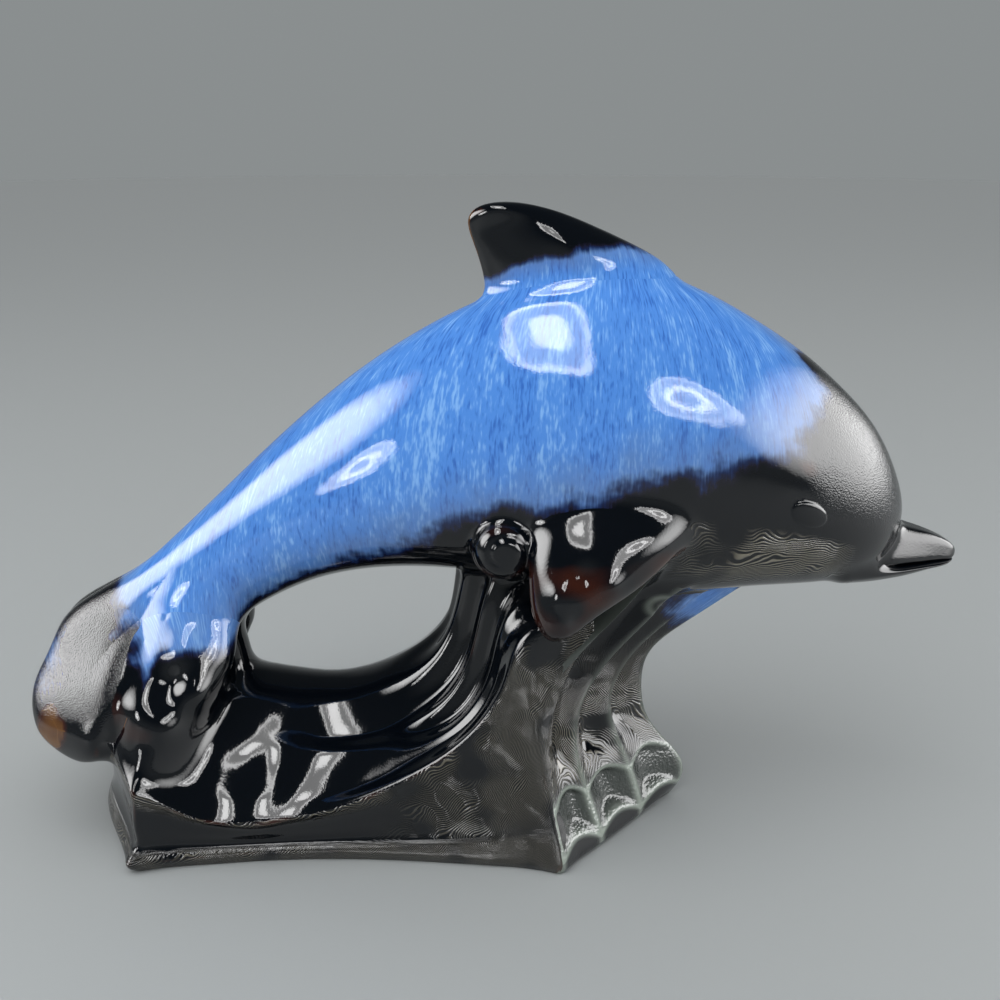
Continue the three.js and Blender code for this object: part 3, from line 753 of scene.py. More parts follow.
    def blue_edge(self, share: np.ndarray, down: np.ndarray, grid: np.ndarray) -> np.ndarray:
        """How far each point lies inside the blue glaze.

        That is the least of the distances to its lower edge, to its front edge on the head and to its end
        on the tail.

        Args:
            share: Share of the body's length, rows.
            down: Angle down from the back, columns.
            grid: Points of the skin.

        Returns:
            The distance in millimetres, negative outside.
        """
        half_girth = np.linalg.norm(np.diff(grid[:, : self.columns // 2], axis=1), axis=-1).sum(axis=1)
        radius = np.maximum(half_girth / np.pi, 1)[:, None]
        shares = np.array(self.blue_shares)
        angles = np.array(self.blue_angles)[:, None]
        lower_angle = curve(angles, np.clip(share, shares[0], shares[-1]), shares)
        front_share = np.interp(down, self.head_angles, self.head_shares)[None, :]
        along = self.length * self.skin_stretch
        lower = (lower_angle - down[None, :]) * radius
        front = (front_share - share[:, None]) * along
        tail = (share[:, None] - self.tail_share) * along
        return np.minimum(np.minimum(lower, front), tail)

    def thin_glaze(self, share: np.ndarray, down: np.ndarray, grid: np.ndarray) -> np.ndarray:
        """Where the black glaze is thin and pebbled: over the melon and on the end of the tail."""
        ends = ease((share[:, None] - 0.7) / 0.06) + ease((0.16 - share[:, None]) / 0.05)
        return ends * ease((1.9 - down[None, :]) / 0.4) * np.ones(grid.shape[:2])

    def body_flow(self, share: np.ndarray, down: np.ndarray, grid: np.ndarray) -> np.ndarray:
        """Follows the runs of glaze down the skin.

        The way down at a point is the fall of height over the skin's own metric: it goes on along the share
        by (F h_a - G h_s) for each (F h_s - E h_a) of angle, with h_s and h_a the changes of height and
        E, F and G the skin's squared lengths. Each run's name is its place where it crosses the run angle.

        Args:
            share: Share of the body's length, rows.
            down: Angle down from the back, columns.
            grid: Points of the skin.

        Returns:
            Place across and along the runs at each point, in millimetres.
        """
        along = np.gradient(grid, share, axis=0)
        step = down[1]
        around = (np.roll(grid, -1, axis=1) - np.roll(grid, 1, axis=1)) / (2 * step)
        e = np.einsum("ijk,ijk->ij", along, along) + 1e-6
        f = np.einsum("ijk,ijk->ij", along, around)
        g = np.einsum("ijk,ijk->ij", around, around) + 1e-6
        h_s = along[..., 2]
        h_a = around[..., 2]
        share_rate = f * h_a - g * h_s
        angle_rate = f * h_s - e * h_a
        drift = share_rate / np.where(np.abs(angle_rate) < 1e-6, 1e-6, angle_rate)
        drift = np.clip(drift, -0.6, 0.6)
        half = self.columns // 2
        start = int(self.run_angle / step)
        name = np.zeros(grid.shape[:2])
        name[:, start] = share * self.length
        # From that angle up to the back, and then down to the belly
        for column in range(start, 0, -1):
            name[:, column - 1] = np.interp(share + drift[:, column] * step, share, name[:, column])
        for column in range(start, half):
            name[:, column + 1] = np.interp(share - drift[:, column] * step, share, name[:, column])
        name[:, half + 1:] = name[:, 1:half][:, ::-1]
        return np.stack([name, grid[..., 2], 0.06 * grid[..., 1]], axis=-1)

    def limb(self, name: str, rows: list[tuple], place: np.ndarray, scale: np.ndarray, thickness: float,
             **options: object) -> Limb:
        """A limb whose edges are drawn in shares of its own sizes.

        Args:
            name: Name of the part.
            rows: Leading point, trailing point and share of the thickness, from root to tip.
            place: Where the shares are measured from, in millimetres.
            scale: Millimetres of one share along, sideways and up.
            thickness: Full thickness of share 1.
            options: Further fields of Limb.

        Returns:
            The limb.
        """
        lead = place + np.array([row[0] for row in rows]) * scale
        trail = place + np.array([row[1] for row in rows]) * scale
        half = np.array([row[2] for row in rows]) * thickness / 2
        return Limb(name, lead, trail, half, **options)

    def fin(self) -> Clay:
        """Dorsal fin, hooked back over its rear edge, with blue glaze climbing its foot.

        Returns:
            The fin's closed surface.
        """
        rows = [
            ((0.56, 0, -0.6), (-0.51, 0, -0.75), 1.2),
            ((0.53, 0, -0.05), (-0.525, 0, -0.25), 1.16),
            ((0.36, 0, 0.31), (-0.55, 0, 0.08), 1.02),
            ((0.09, 0, 0.64), (-0.585, 0, 0.36), 0.74),
            ((-0.14, 0, 0.87), (-0.615, 0, 0.6), 0.52),
            ((-0.36, 0, 0.985), (-0.61, 0, 0.8), 0.42),
            ((-0.53, 0, 0.95), (-0.53, 0, 0.95), 0),
        ]
        scale = np.array([self.fin_length, 1, self.fin_height])
        place = self.skin_at(self.fin_share, 0)
        limb = self.limb("dorsal_fin", rows, place, scale, self.fin_thickness, across=SIDEWAYS, flare=-0.35)
        clay = limb.clay()
        clay.lump(self.fin_lumps)
        back = self.skin(np.linspace(0.3, 0.8, 60), np.array([0.0]))[:, 0]
        ridge = np.interp(clay.points[:, 0], back[:, 0], back[:, 2])
        clay.marks["blue"] = 2.5 * (self.fin_blue_height - (clay.points[:, 2] - ridge))
        return clay

    def flipper(self) -> Clay:
        """Right flipper, a thick rounded triangle that points down and back.

        Returns:
            The flipper's closed surface.
        """
        rows = [
            ((0.5, 0.75, 0.1), (-0.5, 0.75, 0.14), 0.85),
            ((0.5, 0.1, -0.02), (-0.54, 0.2, 0.02), 1),
            ((0.32, -0.22, -0.24), (-0.57, -0.12, -0.2), 1.06),
            ((0.1, -0.42, -0.44), (-0.57, -0.3, -0.42), 1.04),
            ((-0.14, -0.58, -0.62), (-0.55, -0.45, -0.6), 0.92),
            ((-0.29, -0.66, -0.75), (-0.5, -0.56, -0.72), 0.66),
            ((-0.42, -0.62, -0.8), (-0.42, -0.62, -0.8), 0),
        ]
        scale = np.array([self.flipper_root, self.flipper_thickness, self.flipper_length])
        place = self.skin_at(*self.flipper_place)
        clay = self.limb("right_flipper", rows, place, scale, self.flipper_thickness, power=2.1).clay()
        clay.lump(self.flipper_lumps)
        # Painted reddish-brown reflection over the flipper's lower part
        clay.marks["brown"] = 0.43 * ease((94 - clay.points[:, 2]) / 8)
        return clay

    def fluke(self) -> Clay:
        """Right fluke, which droops outwards and down over the foam, with a blue lobe and a brown spot.

        Returns:
            The fluke's closed surface.
        """
        rows = [
            ((0.7, -0.03, 0.06), (0.0, 0.0, 0.0), 0.85),
            ((0.56, -0.16, -0.03), (-0.34, -0.03, -0.08), 0.95),
            ((0.42, -0.33, -0.18), (-0.64, -0.14, -0.25), 0.98),
            ((0.31, -0.49, -0.36), (-0.77, -0.29, -0.41), 0.94),
            ((0.21, -0.6, -0.56), (-0.7, -0.4, -0.56), 0.88),
            ((0.12, -0.61, -0.69), (-0.52, -0.45, -0.68), 0.72),
            ((-0.18, -0.57, -0.74), (-0.18, -0.57, -0.74), 0),
        ]
        scale = np.array([self.fluke_chord, self.fluke_length, self.fluke_length])
        place = self.skin_at(self.fluke_share, 0) - np.array([0, 0, self.fluke_thickness / 2])
        clay = self.limb("right_fluke", rows, place, scale, self.fluke_thickness, power=4.2).clay()
        x, _, z = clay.points.T
        # The lobe is an upright oval, and the pour over the tail stock ends along and down the fluke
        lobe = 3.4 - np.hypot(x - self.fluke_lobe[0], (z - self.fluke_lobe[1]) * 0.5)
        spot = np.hypot((x - self.fluke_spot[0]) * 1.1, (z - self.fluke_spot[1]) * 0.8)
        clay.marks["blue"] = np.maximum(lobe, 1.5 * np.minimum(x + 105, z - 58))
        clay.marks["brown"] = 0.84 * ease((6.5 - spot) / 2.5)
        clay.marks["grain"] = ease((z - 34) / 8)
        return clay

    def mouth(self, name: str, rows: list[tuple], length: float, width: float, thickness: float,
              power: float, flare: float) -> Clay:
        """Upper beak or lower jaw, drawn from the front of the melon and the line of the mouth.

        Args:
            name: Name of the part.
            rows: Upper point, lower point and share of the width, from root to tip.
            length: Millimetres of one share along.
            width: Full width of share 1.
            thickness: Millimetres of one share up.
            power: How square the section is.
            flare: How much wider the section is towards its lower edge.

        Returns:
            The part's closed surface.
        """
        place = self.skin_at(1, 0) - np.array([0, 0, self.mouth_drop])
        scale = np.array([length, 1, thickness])
        return self.limb(name, rows, place, scale, width, power=power, across=SIDEWAYS, flare=flare).clay()

    def beak(self) -> Clay:
        """Upper beak, a flat plate that tapers forwards.

        Returns:
            The beak's closed surface.
        """
        rows = [
            ((-0.6, 0, 1.2), (-0.7, 0, -0.06), 1.36), ((-0.2, 0, 1.15), (-0.35, 0, -0.06), 1.32),
            ((0.12, 0, 0.98), (0.02, 0, -0.06), 1.08), ((0.45, 0, 0.8), (0.38, 0, -0.06), 0.8),
            ((0.78, 0, 0.55), (0.72, 0, -0.06), 0.52), ((0.96, 0, 0.32), (0.93, 0, -0.04), 0.32),
            ((1.01, 0, 0.12), (1.01, 0, 0.12), 0),
        ]
        sizes = (self.beak_length, self.beak_width, self.beak_thickness)
        clay = self.mouth("upper_beak", rows, *sizes, power=5.0, flare=0.26)
        clay.marks["grain"] = np.full(len(clay.points), 0.3)
        return clay

    def jaw(self) -> Clay:
        """Lower jaw, a little shorter than the beak.

        Returns:
            The jaw's closed surface.
        """
        rows = [
            ((-0.95, 0, -0.06), (-0.95, 0, -0.6), 1.25), ((-0.4, 0, -0.06), (-0.42, 0, -0.8), 1.15),
            ((0.1, 0, -0.06), (0.08, 0, -0.68), 0.95), ((0.5, 0, -0.06), (0.48, 0, -0.44), 0.74),
            ((0.8, 0, -0.06), (0.78, 0, -0.28), 0.52), ((0.94, 0, -0.1), (0.94, 0, -0.1), 0),
        ]
        sizes = (self.jaw_length, self.jaw_width, self.jaw_thickness)
        return self.mouth("lower_jaw", rows, *sizes, power=3.0, flare=-0.3)

    def eye(self) -> Clay:
        """Right eye, a low oval dome: at share p of its radius it stands sqrt(1 - p^2) of its bulge proud.

        Returns:
            The eye's closed surface.
        """
        centre, ahead, below = (self.skin_at(*place) for place in self.eye_places)
        ahead = unit(ahead - centre)
        outward = unit(np.cross(ahead, below - centre))
        outward = outward if outward[1] < 0 else -outward
        below = unit(np.cross(outward, ahead))
        polar = np.linspace(0, np.pi, 40)[:, None, None]
        turn = np.linspace(0, 2 * np.pi, 64, endpoint=False)[None, :, None]
        flat = ahead * np.cos(turn) * self.eye_length / 2 + below * np.sin(turn) * self.eye_height / 2
        grid = centre + flat * np.sin(polar) + outward * self.eye_bulge * np.cos(polar)
        return Clay.from_grid("right_eye", grid, {"flow": Limb.flow(grid)})

    def parts(self) -> list[Clay]:
        """All the dolphin's parts, the paired ones on the right-hand side."""
        return [self.body(), self.fin(), self.beak(), self.jaw(), self.eye(), self.flipper(), self.fluke()]


# The wave


@dataclass
class Wave:
    """Base, crest, scrolls, foam and strut, in millimetres.

    Lines are drawn as hundredths of the dolphin's length along, shares of the wave's half width, and
    hundredths of the dolphin's height up.
    """

    dolphin: Dolphin
    width: float = 84.0
    wall: float = 5.0
    # Rows and columns of the base's skin, columns of its underside, rows of the crest and columns of a flute
    base_rows: int = 330
    base_columns: int = 241
    hollow_columns: int = 61
    crest_rows: int = 260
    flute_columns: int = 36
    # How high the hollow under the base is, as a share of the dolphin's height, and how much of that is
    # gone where it meets the wall
    dome_share: float = 0.16
    dome_fall: float = 0.55
    # Where the hollow starts and ends along
    hollow: tuple[float, float] = (-108.0, -8.0)
    # Stations of the base's net that run on round the stern
    stern_turn: int = 4
    flute_depth: float = 6.5
    rib_round: float = 0.22
    curl_diameter: float = 16.0
    # Where the scroll sits on the body, as share of its length and angle down from the back
    curl_place: tuple[float, float] = (0.423, 2.08)
    foam_thickness: float = 15.0
    post_length: float = 7.0
    post_width: float = 11.0
    # Lumps and hollows of the foam, for Clay.lump
    foam_lumps: tuple = (
        (-88.5, 48.5, 4.0, -2.4), (-97.0, 42.0, 5.0, 1.8), (-81.5, 45.0, 4.0, 1.6),
        (-91.0, 38.0, 4.5, 1.2), (-99.0, 31.0, 4.0, -1.0), (-86.0, 56.5, 4.0, 1.0),
        (-104.0, 37.0, 3.0, -1.1), (-94.0, 34.5, 3.0, -1.0),
    )
    pleats: int = 3
    pleat_depth: float = 1.7
    # Lower and upper edge of the crest's foot cells, and how high they arch
    cell_floor: float = 3.5
    cell_top: float = 16.5
    cell_arch: float = 3.5
    # Place along and up, reach and height of the humps that make a slanting swell in the base's scoop
    scoop_lumps: tuple = ((-58.5, 29.0, 6.5, 0.9), (-62.0, 22.5, 6.5, 0.9), (-65.5, 16.0, 6.5, 0.9))
    # Place along and up of a small oval hollow in the crest, with a painted highlight ring, and of the brown
    # on the foam
    knot: tuple[float, float] = (43.5, 69.0)
    foam_spot: tuple[float, float] = (-102.0, 39.0)
    # Place along and up, and radius, of the blue that ran on to the crest
    crest_pour: tuple[float, float, float] = (57.5, 63.5, 10.5)

    # How far each line of the base runs on under the crest, in millimetres
    base_tuck: tuple = (
        (2, 4, 0), (2, 4, 0), (2, 5, 0), (16, 3, 6), (14, 4, 5), (10, 5, 4), (6, 4, 2), (4, 3, 1), (2, 0, 0),
    )
    base_lines: tuple = (
        ((-49.3, 0, 0), (-46.2, 0.5, 0), (-42.1, 0.94, 0), (-34.1, 0.87, 0), (-25.9, 0.82, 0),
         (-17.3, 0.81, 0), (-8.2, 0.84, 0), (-1.3, 0.88, 0), (3, 0.91, 0), (6.1, 0.93, 0)),
        ((-49.9, 0, 1.9), (-46.9, 0.53, 1.9), (-42.8, 1, 1.9), (-34.4, 0.9, 1.9), (-25.9, 0.85, 1.9),
         (-17.3, 0.84, 1.9), (-8.2, 0.87, 1.9), (-1.3, 0.91, 1.9), (3.2, 0.94, 1.9), (6.9, 0.97, 1.9)),
        ((-49, 0, 12.8), (-46, 0.5, 12.2), (-41.9, 0.93, 7.7), (-34.1, 0.86, 5.8), (-26.4, 0.82, 5.5),
         (-17.7, 0.8, 6.4), (-8.6, 0.81, 9), (-2.2, 0.83, 12.8), (1.7, 0.85, 18), (4.5, 0.86, 21.8)),
        ((-48.8, 0, 23.7), (-46.2, 0.52, 21.2), (-41.9, 0.92, 15.1), (-34.8, 0.9, 9.8), (-27.2, 0.88, 9),
         (-19.4, 0.87, 11.2), (-10.4, 0.86, 17), (-3.5, 0.84, 24.7), (0.4, 0.82, 33.7), (3.5, 0.8, 42.4)),
        ((-47.5, 0, 24.7), (-45.4, 0.46, 23.1), (-41.1, 0.8, 17.7), (-34.6, 0.77, 12.5), (-26.8, 0.76, 11.6),
         (-19.4, 0.75, 12.8), (-10.8, 0.73, 18), (-3.9, 0.7, 24.4), (-0.4, 0.68, 33.4), (2.2, 0.66, 43.6)),
        ((-45.8, 0, 25.7), (-43.6, 0.36, 25), (-39.8, 0.6, 22.5), (-34.1, 0.59, 18.6), (-26.8, 0.58, 17),
         (-19.9, 0.57, 17), (-11.7, 0.56, 19.9), (-5.2, 0.54, 25), (-1.7, 0.5, 34.7), (0.9, 0.46, 46.2)),
        ((-44.1, 0, 26.3), (-41.9, 0.27, 26), (-38.5, 0.44, 24.7), (-33.3, 0.43, 22.1), (-26.4, 0.43, 19.6),
         (-19.9, 0.43, 18.6), (-12.5, 0.42, 20.9), (-6.1, 0.4, 27), (-3, 0.36, 36.6), (-0.9, 0.32, 48.1)),
        ((-41.9, 0, 27), (-39.8, 0.14, 27), (-36.7, 0.24, 26.6), (-32, 0.24, 25.4), (-25.5, 0.24, 23.4),
         (-19.4, 0.24, 23.1), (-12.5, 0.24, 26.3), (-7.3, 0.22, 32.1), (-4.8, 0.18, 40.4), (-3, 0.16, 50.7)),
        ((-39.3, 0, 27.6), (-37.6, 0, 27.6), (-35, 0, 27.5), (-30.7, 0, 26.3), (-24.6, 0, 24.9),
         (-18.6, 0, 25), (-13, 0, 28.4), (-8, 0, 34), (-5.8, 0, 41.1), (-4.8, 0, 51.3)),
    )
    ribs: tuple = (
        ((6.5, 0.93, 0), (7.1, 0.98, 1.9), (6, 0.9, 9.6), (4.9, 0.83, 18.6), (4.7, 0.79, 27.6),
         (6.7, 0.77, 35.9), (11.7, 0.75, 43.3), (18.6, 0.66, 54.6)),
        ((11.2, 0.63, 0), (12.2, 0.67, 1.9), (10.6, 0.62, 9.3), (9.1, 0.59, 18), (9.5, 0.57, 26.3),
         (12.5, 0.55, 34.7), (17.7, 0.51, 43), (23.3, 0.4, 51.3)),
        ((16.2, 0.3, 0), (17.5, 0.33, 1.9), (16, 0.32, 10.3), (13.8, 0.32, 19.3), (13.6, 0.32, 26.6),
         (16.4, 0.3, 34), (21, 0.27, 40.4), (26.4, 0.2, 48.8)),
        ((21.8, 0, 0), (23.3, 0, 3.8), (22.6, 0, 8.7), (19, 0, 15.4), (17.7, 0, 23.1), (18.8, 0, 30.2),
         (23.8, 0, 36.6), (31.6, 0, 45.0)),
    )
    crest_back: tuple = (
        ((-0.4, 0, 0), (-0.4, 0, 1.9), (-0.4, 0, 9.6), (-0.4, 0, 18.6), (-0.4, 0, 27), (-0.9, 0, 34.7),
         (-1.3, 0, 42.4), (1.7, 0, 53.9)),
        ((0.4, 0.5, 0), (0.4, 0.5, 1.9), (0.4, 0.5, 9.6), (0.4, 0.5, 18.6), (0.4, 0.5, 27), (0.9, 0.5, 34.7),
         (2.2, 0.5, 42.4), (6.1, 0.45, 53.9)),
    )

    def placed(self, points: tuple) -> np.ndarray:
        """Turns drawn points of the right-hand side into millimetres.

        Args:
            points: Drawn points, or lines of them.

        Returns:
            The points.
        """
        drawn = np.array(points, float)
        scale = np.array([self.dolphin.length / 100, -self.width / 2, self.dolphin.height / 100])
        return drawn * scale

    @staticmethod
    def marked(name: str, grid: np.ndarray, **marks: np.ndarray) -> Clay:
        """A part of the wave, with the places across and along its runs of glaze marked in millimetres.

        The wavy lines, ripples with a painted pale sheen, are level lines of the mark creep.

        Args:
            name: Name of the part.
            grid: Points, rows by columns by three.
            marks: Further marks on the same grid.

        Returns:
            The part's closed surface.
        """
        across = np.linalg.norm(np.diff(grid, axis=1, prepend=grid[:, :1]), axis=-1).mean(axis=0)
        along = np.linalg.norm(np.diff(grid, axis=0, prepend=grid[:1]), axis=-1).mean(axis=1)
        places = np.broadcast_arrays(np.cumsum(across)[None, :], np.cumsum(along)[:, None], 0.0)
        return Clay.from_grid(name, grid, {"flow": np.stack(places, axis=-1), **marks})

    def base_net(self) -> np.ndarray:
        """Lines of the base from the foot over the rim to the far foot, running on round the stern.

        A neck above the foot roll and a line on each side of the lip's lower edge hold the wall flat, and a
        station close before and after the stern corner keeps it sharp. The rest is the mirror image.

        Returns:
            Points, lines by stations by three.
        """
        drawn = self.placed(self.base_lines)
        tuck = drawn[:, -1:] + np.array(self.base_tuck)[:, None]
        drawn = np.concatenate([drawn, tuck], axis=1)
        neck = (drawn[1] * 0.62 + drawn[2] * 0.38) * [0.99, 0.965, 1]
        below = drawn[2] * 0.25 + drawn[3] * 0.75
        above = drawn[3] * 0.45 + drawn[4] * 0.55
        net = np.stack([drawn[0], drawn[1], neck, drawn[2], below, drawn[3], above, *drawn[4:]])
        corner = net[:, 2]
        before = net[:, 1] * 0.16 + corner * 0.84
        after = corner * 0.84 + net[:, 3] * 0.16
        sharpened = np.stack([before, corner, after], axis=1)
        net = np.concatenate([net[:, :2], sharpened, net[:, 3:]], axis=1)
        net = np.concatenate([net, (net * FLIP)[-2::-1]])
        return np.concatenate([(net * FLIP)[:, self.stern_turn : 0 : -1], net], axis=1)

    def pleated(self, grid: np.ndarray, line: np.ndarray, station: np.ndarray, middle: int) -> np.ndarray:
        """Raises the pleats that climb from the scoop to the crest.

        The skin moves out by the depth times the sine of the pleats times a power of the sine across, where
        it stands upright.

        Args:
            grid: Points of the skin.
            line: Number of the line at each column.
            station: Number of the station at each row.
            middle: Number of the line along the rim's middle.

        Returns:
            The new points.
        """
        across = np.clip((line - 7) / (middle - 7), 0, 1)
        pleat = np.sin(2 * np.pi * self.pleats * across) * np.sin(np.pi * across) ** 0.6
        upright = ease((station - 7.6) / 1.8)
        skin = unit(np.cross(np.gradient(grid, axis=0), np.gradient(grid, axis=1)))
        return grid + skin * (self.pleat_depth * upright[:, None] * pleat[None, :])[..., None]

    @staticmethod
    def base_marks(grid: np.ndarray, line: np.ndarray) -> np.ndarray:
        """Where the base's glaze is thin, where the wavy lines with their painted sheen show, and what they
        are level lines of.

        They show on the wall towards the prow, along the lip, and on the foot roll, where they slant.

        Args:
            grid: Points of the skin.
            line: Number of the line at each column.

        Returns:
            Grain, lined and creep at each point.
        """
        grain = 0.5 * (hump(line, 1, 0.7) + hump(line, 4.6, 0.4))[None, :]
        wall = (ease((line - 1.5) / 1.0) * ease((5.0 - line) / 0.5))[None, :]
        by_lip = (ease((line - 3.6) / 0.6) * ease((5.0 - line) / 0.3))[None, :]
        foot = ease((1.9 - line) / 0.3)[None, :]
        lined = 0.8 * np.maximum(ease((grid[..., 0] + 40) / 40) * wall, by_lip)
        lined = np.maximum(lined, 0.7 * foot)
        lip = grid[:, np.argmin(np.abs(line[: len(line) // 2] - 5))][:, None, 2]
        creep = lip - grid[..., 2] + foot * (0.9 * grid[..., 0] - 0.5 * grid[..., 2])
        return np.stack(np.broadcast_arrays(grain, lined, creep), axis=-1)

    def underside(self, grid: np.ndarray) -> np.ndarray:
        """The hollow under the base, flat near the foot and a dome inside.

        Its height is the dome's, which falls off with the square of the place across, times an ease inwards
        from the wall times an ease from both ends.

        Args:
            grid: Points of the skin, with the foot in the first and last column.

        Returns:
            Points between the last column and the first.
        """
        share = np.linspace(0, 1, self.hollow_columns)[None, 1:-1, None]
        inner = grid[:, -1:] * (1 - share) + grid[:, :1] * share
        x, y, _ = np.moveaxis(inner, -1, 0)
        half = np.abs(grid[:, :1, 1])
        edge = (half - np.abs(y) - self.wall) / 3.0
        ends = ease((x - self.hollow[0]) / 8) * ease((self.hollow[1] - x) / 6)
        fall = 1 - self.dome_fall * (np.abs(y) / np.maximum(half, 1)) ** 2
        dome = self.dome_share * self.dolphin.height * fall
        return np.stack([x, y, dome * ease(edge) * ends], axis=-1)

    def base(self) -> Clay:
        """Plinth of the wave: wall, lip, scooped bands and rim, hollow underneath.

        The skin is a smooth surface over the net of lines, read first across them and then along.

        Returns:
            The base's closed surface.
        """
        net = self.base_net()
        middle = len(net) // 2
        line_knots = self.knots(net, 0)
        station_knots = self.knots(net, 1)
        rows = np.linspace(station_knots[self.stern_turn], station_knots[-1], self.base_rows)
        columns = np.linspace(line_knots[0], line_knots[-1], self.base_columns)
        grid = curve(np.swapaxes(curve(net, columns, line_knots), 0, 1), rows, station_knots)
        grid[..., 2] = np.maximum(grid[..., 2], 0)
        grid[:, [0, -1], 2] = 0
        line = np.interp(np.minimum(columns, columns[::-1]), line_knots[: middle + 1], np.arange(middle + 1))
        own = station_knots[self.stern_turn :]
        station = np.interp(rows, own, np.arange(len(own)))
        grid = self.pleated(grid, line, station, middle)
        inner = self.underside(grid)
        ring = np.concatenate([grid, inner], axis=1)
        marks = np.concatenate([self.base_marks(grid, line), 0 * inner], axis=1)
        end = np.broadcast_to(ring[-1:].mean(axis=1, keepdims=True), (1, *ring.shape[1:]))
        ring = np.concatenate([ring, end])
        grain, lined, creep = np.moveaxis(np.concatenate([marks, marks[-1:]]), -1, 0)
        clay = self.marked("wave_base", ring, grain=grain, lined=lined, creep=creep)
        clay.lump(self.scoop_lumps)
        return clay

    @staticmethod
    def knots(net: np.ndarray, axis: int) -> np.ndarray:
        """Places of a net's lines or stations, from their mean distance apart to the power 0.7.

        Args:
            net: Points, lines by stations by three.
            axis: 0 for the lines and 1 for the stations.

        Returns:
            The place of each.
        """
        step = np.linalg.norm(np.diff(net, axis=axis), axis=-1).mean(axis=1 - axis)
        return np.concatenate([[0], np.cumsum(step**0.7)])

    def flutes(self, levels: np.ndarray) -> tuple[np.ndarray, np.ndarray]:
        """The right-hand half of the crest from the middle of its back to the prow.

        Between two ribs the skin goes straight across and is then drawn inwards by the flute's depth times
        sqrt(sin^2 + e^2) - e, which leaves each rib as a rounded ridge. An arch at the foot of each flute
        closes a shallow cell off from it.

        Args:
            levels: Places up the ribs, with 1 from each drawn point to the next.

        Returns:
            Points, columns by levels by three, and their height measured from the arches.
        """
        ribs = np.stack([curve(self.placed(rib), levels) for rib in self.ribs])
        back = np.stack([curve(self.placed(line), levels) for line in self.crest_back])
        heart = np.stack([ribs[0, :, 0] * 0.55, 0 * levels, ribs[0, :, 2]], axis=1)
        share = np.linspace(0, 1, self.flute_columns, endpoint=False)[:, None]
        arch = np.sin(np.pi * share)
        strips = [back[:1], back[1:] * 0.5 + back[:1] * 0.5, back[1:], back[1:] * 0.5 + ribs[:1] * 0.5]
        rises = [strip[..., 2] for strip in strips]
        for first, second in zip(ribs[:-1], ribs[1:]):
            flat = first[None] * (1 - share[..., None]) + second[None] * share[..., None]
            span = np.linalg.norm(second - first, axis=1)[None]
            wave = np.sqrt(arch**2 + self.rib_round**2) - self.rib_round
            up = flat[..., 2] - self.cell_arch * arch
            cell = 0.62 * ease((up - self.cell_floor) / 3) * ease((self.cell_top - up) / 3)
            cell += ease((up - self.cell_top - 0.5) / 9)
            depth = np.minimum(self.flute_depth, span / 2.6) * wave * cell
            strips.append(flat + unit(heart[None] - flat) * depth[..., None])
            rises.append(up)
        strips.append(ribs[-1:])
        rises.append(ribs[-1:, :, 2])
        return np.concatenate(strips), np.concatenate(rises)

    def crest(self) -> Clay:
        """Fluted prow and column that carries the chest, with a pole under it and one on top.

        Returns:
            The crest's closed surface.
        """
        levels = np.linspace(0, len(self.ribs[0]) - 1, self.crest_rows)
        right, up = self.flutes(levels)
        ring = np.concatenate([right, (right[1:-1] * FLIP)[::-1]])
        up = np.concatenate([up, up[1:-1][::-1]]).T
        up = np.concatenate([up[:1], up, up[-1:]])
        grid = np.swapaxes(ring, 0, 1)
        grid[..., 2] = np.maximum(grid[..., 2], 0)
        middle = grid.mean(axis=1, keepdims=True)
        foot = np.broadcast_to(middle[:1] * [1, 1, 0], (1, *grid.shape[1:]))
        top = np.broadcast_to(middle[-1:], (1, *grid.shape[1:]))
        grid = np.concatenate([foot, grid, top])
        x, y, z = np.moveaxis(grid, -1, 0)
        near_side = np.stack([x, -np.abs(y), z], axis=-1)
        # How far each point is off the nearest rib
        away = [np.linalg.norm(near_side - self.rib_line(rib, levels), axis=-1) for rib in self.ribs]
        off = np.min(away, axis=0)
        cells = ease((self.cell_top + 1.5 - up) / 2) * ease((up - self.cell_floor + 1.5) / 2)
        edges = hump(up, self.cell_top, 1.0) + hump(up, self.cell_floor, 1.0) + hump(off, 0, 1.3)
        on_ribs = hump(off, 0, 1.2) * (0.25 + 0.55 * ease((40 - up) / 22))
        knot = np.hypot((x - self.knot[0]) * 0.6, z - self.knot[1])
        pour_x, pour_z, pour_radius = self.crest_pour
        marks = {
            # Rim: pale glaze break with a painted sheen on the cells and ribs, and a painted highlight ring
            # round the knot
            "rim": np.maximum.reduce([cells * (0.2 + edges), on_ribs, 0.5 * hump(knot, 2.4, 0.7)]),
            # Lined: where the wavy lines show, as ripples with a painted pale sheen
            "lined": 1.2 * ease((up - self.cell_top) / 4) * ease((60 - up) / 30),
            "grain": np.maximum(0.8 * hump(z, 2.0, 1.5), cells),
            "blue": pour_radius - np.hypot(x - pour_x, z - pour_z),
            "creep": (up - 0.9 * off) * (0.45 + 0.55 * ease((up - 30) / 25)),
        }
        clay = self.marked("wave_crest", grid, **marks)
        clay.lump(((*self.knot, 2.2, -0.9),))
        return clay

    def rib_line(self, rib: tuple, levels: np.ndarray) -> np.ndarray:
        """One rib, with its first and last point repeated for the poles.

        Args:
            rib: The drawn rib.
            levels: Places up it, with 1 from each drawn point to the next.

        Returns:
            Points, one row each by one column.
        """
        line = curve(self.placed(rib), levels)
        return np.concatenate([line[:1], line, line[-1:]])[:, None]

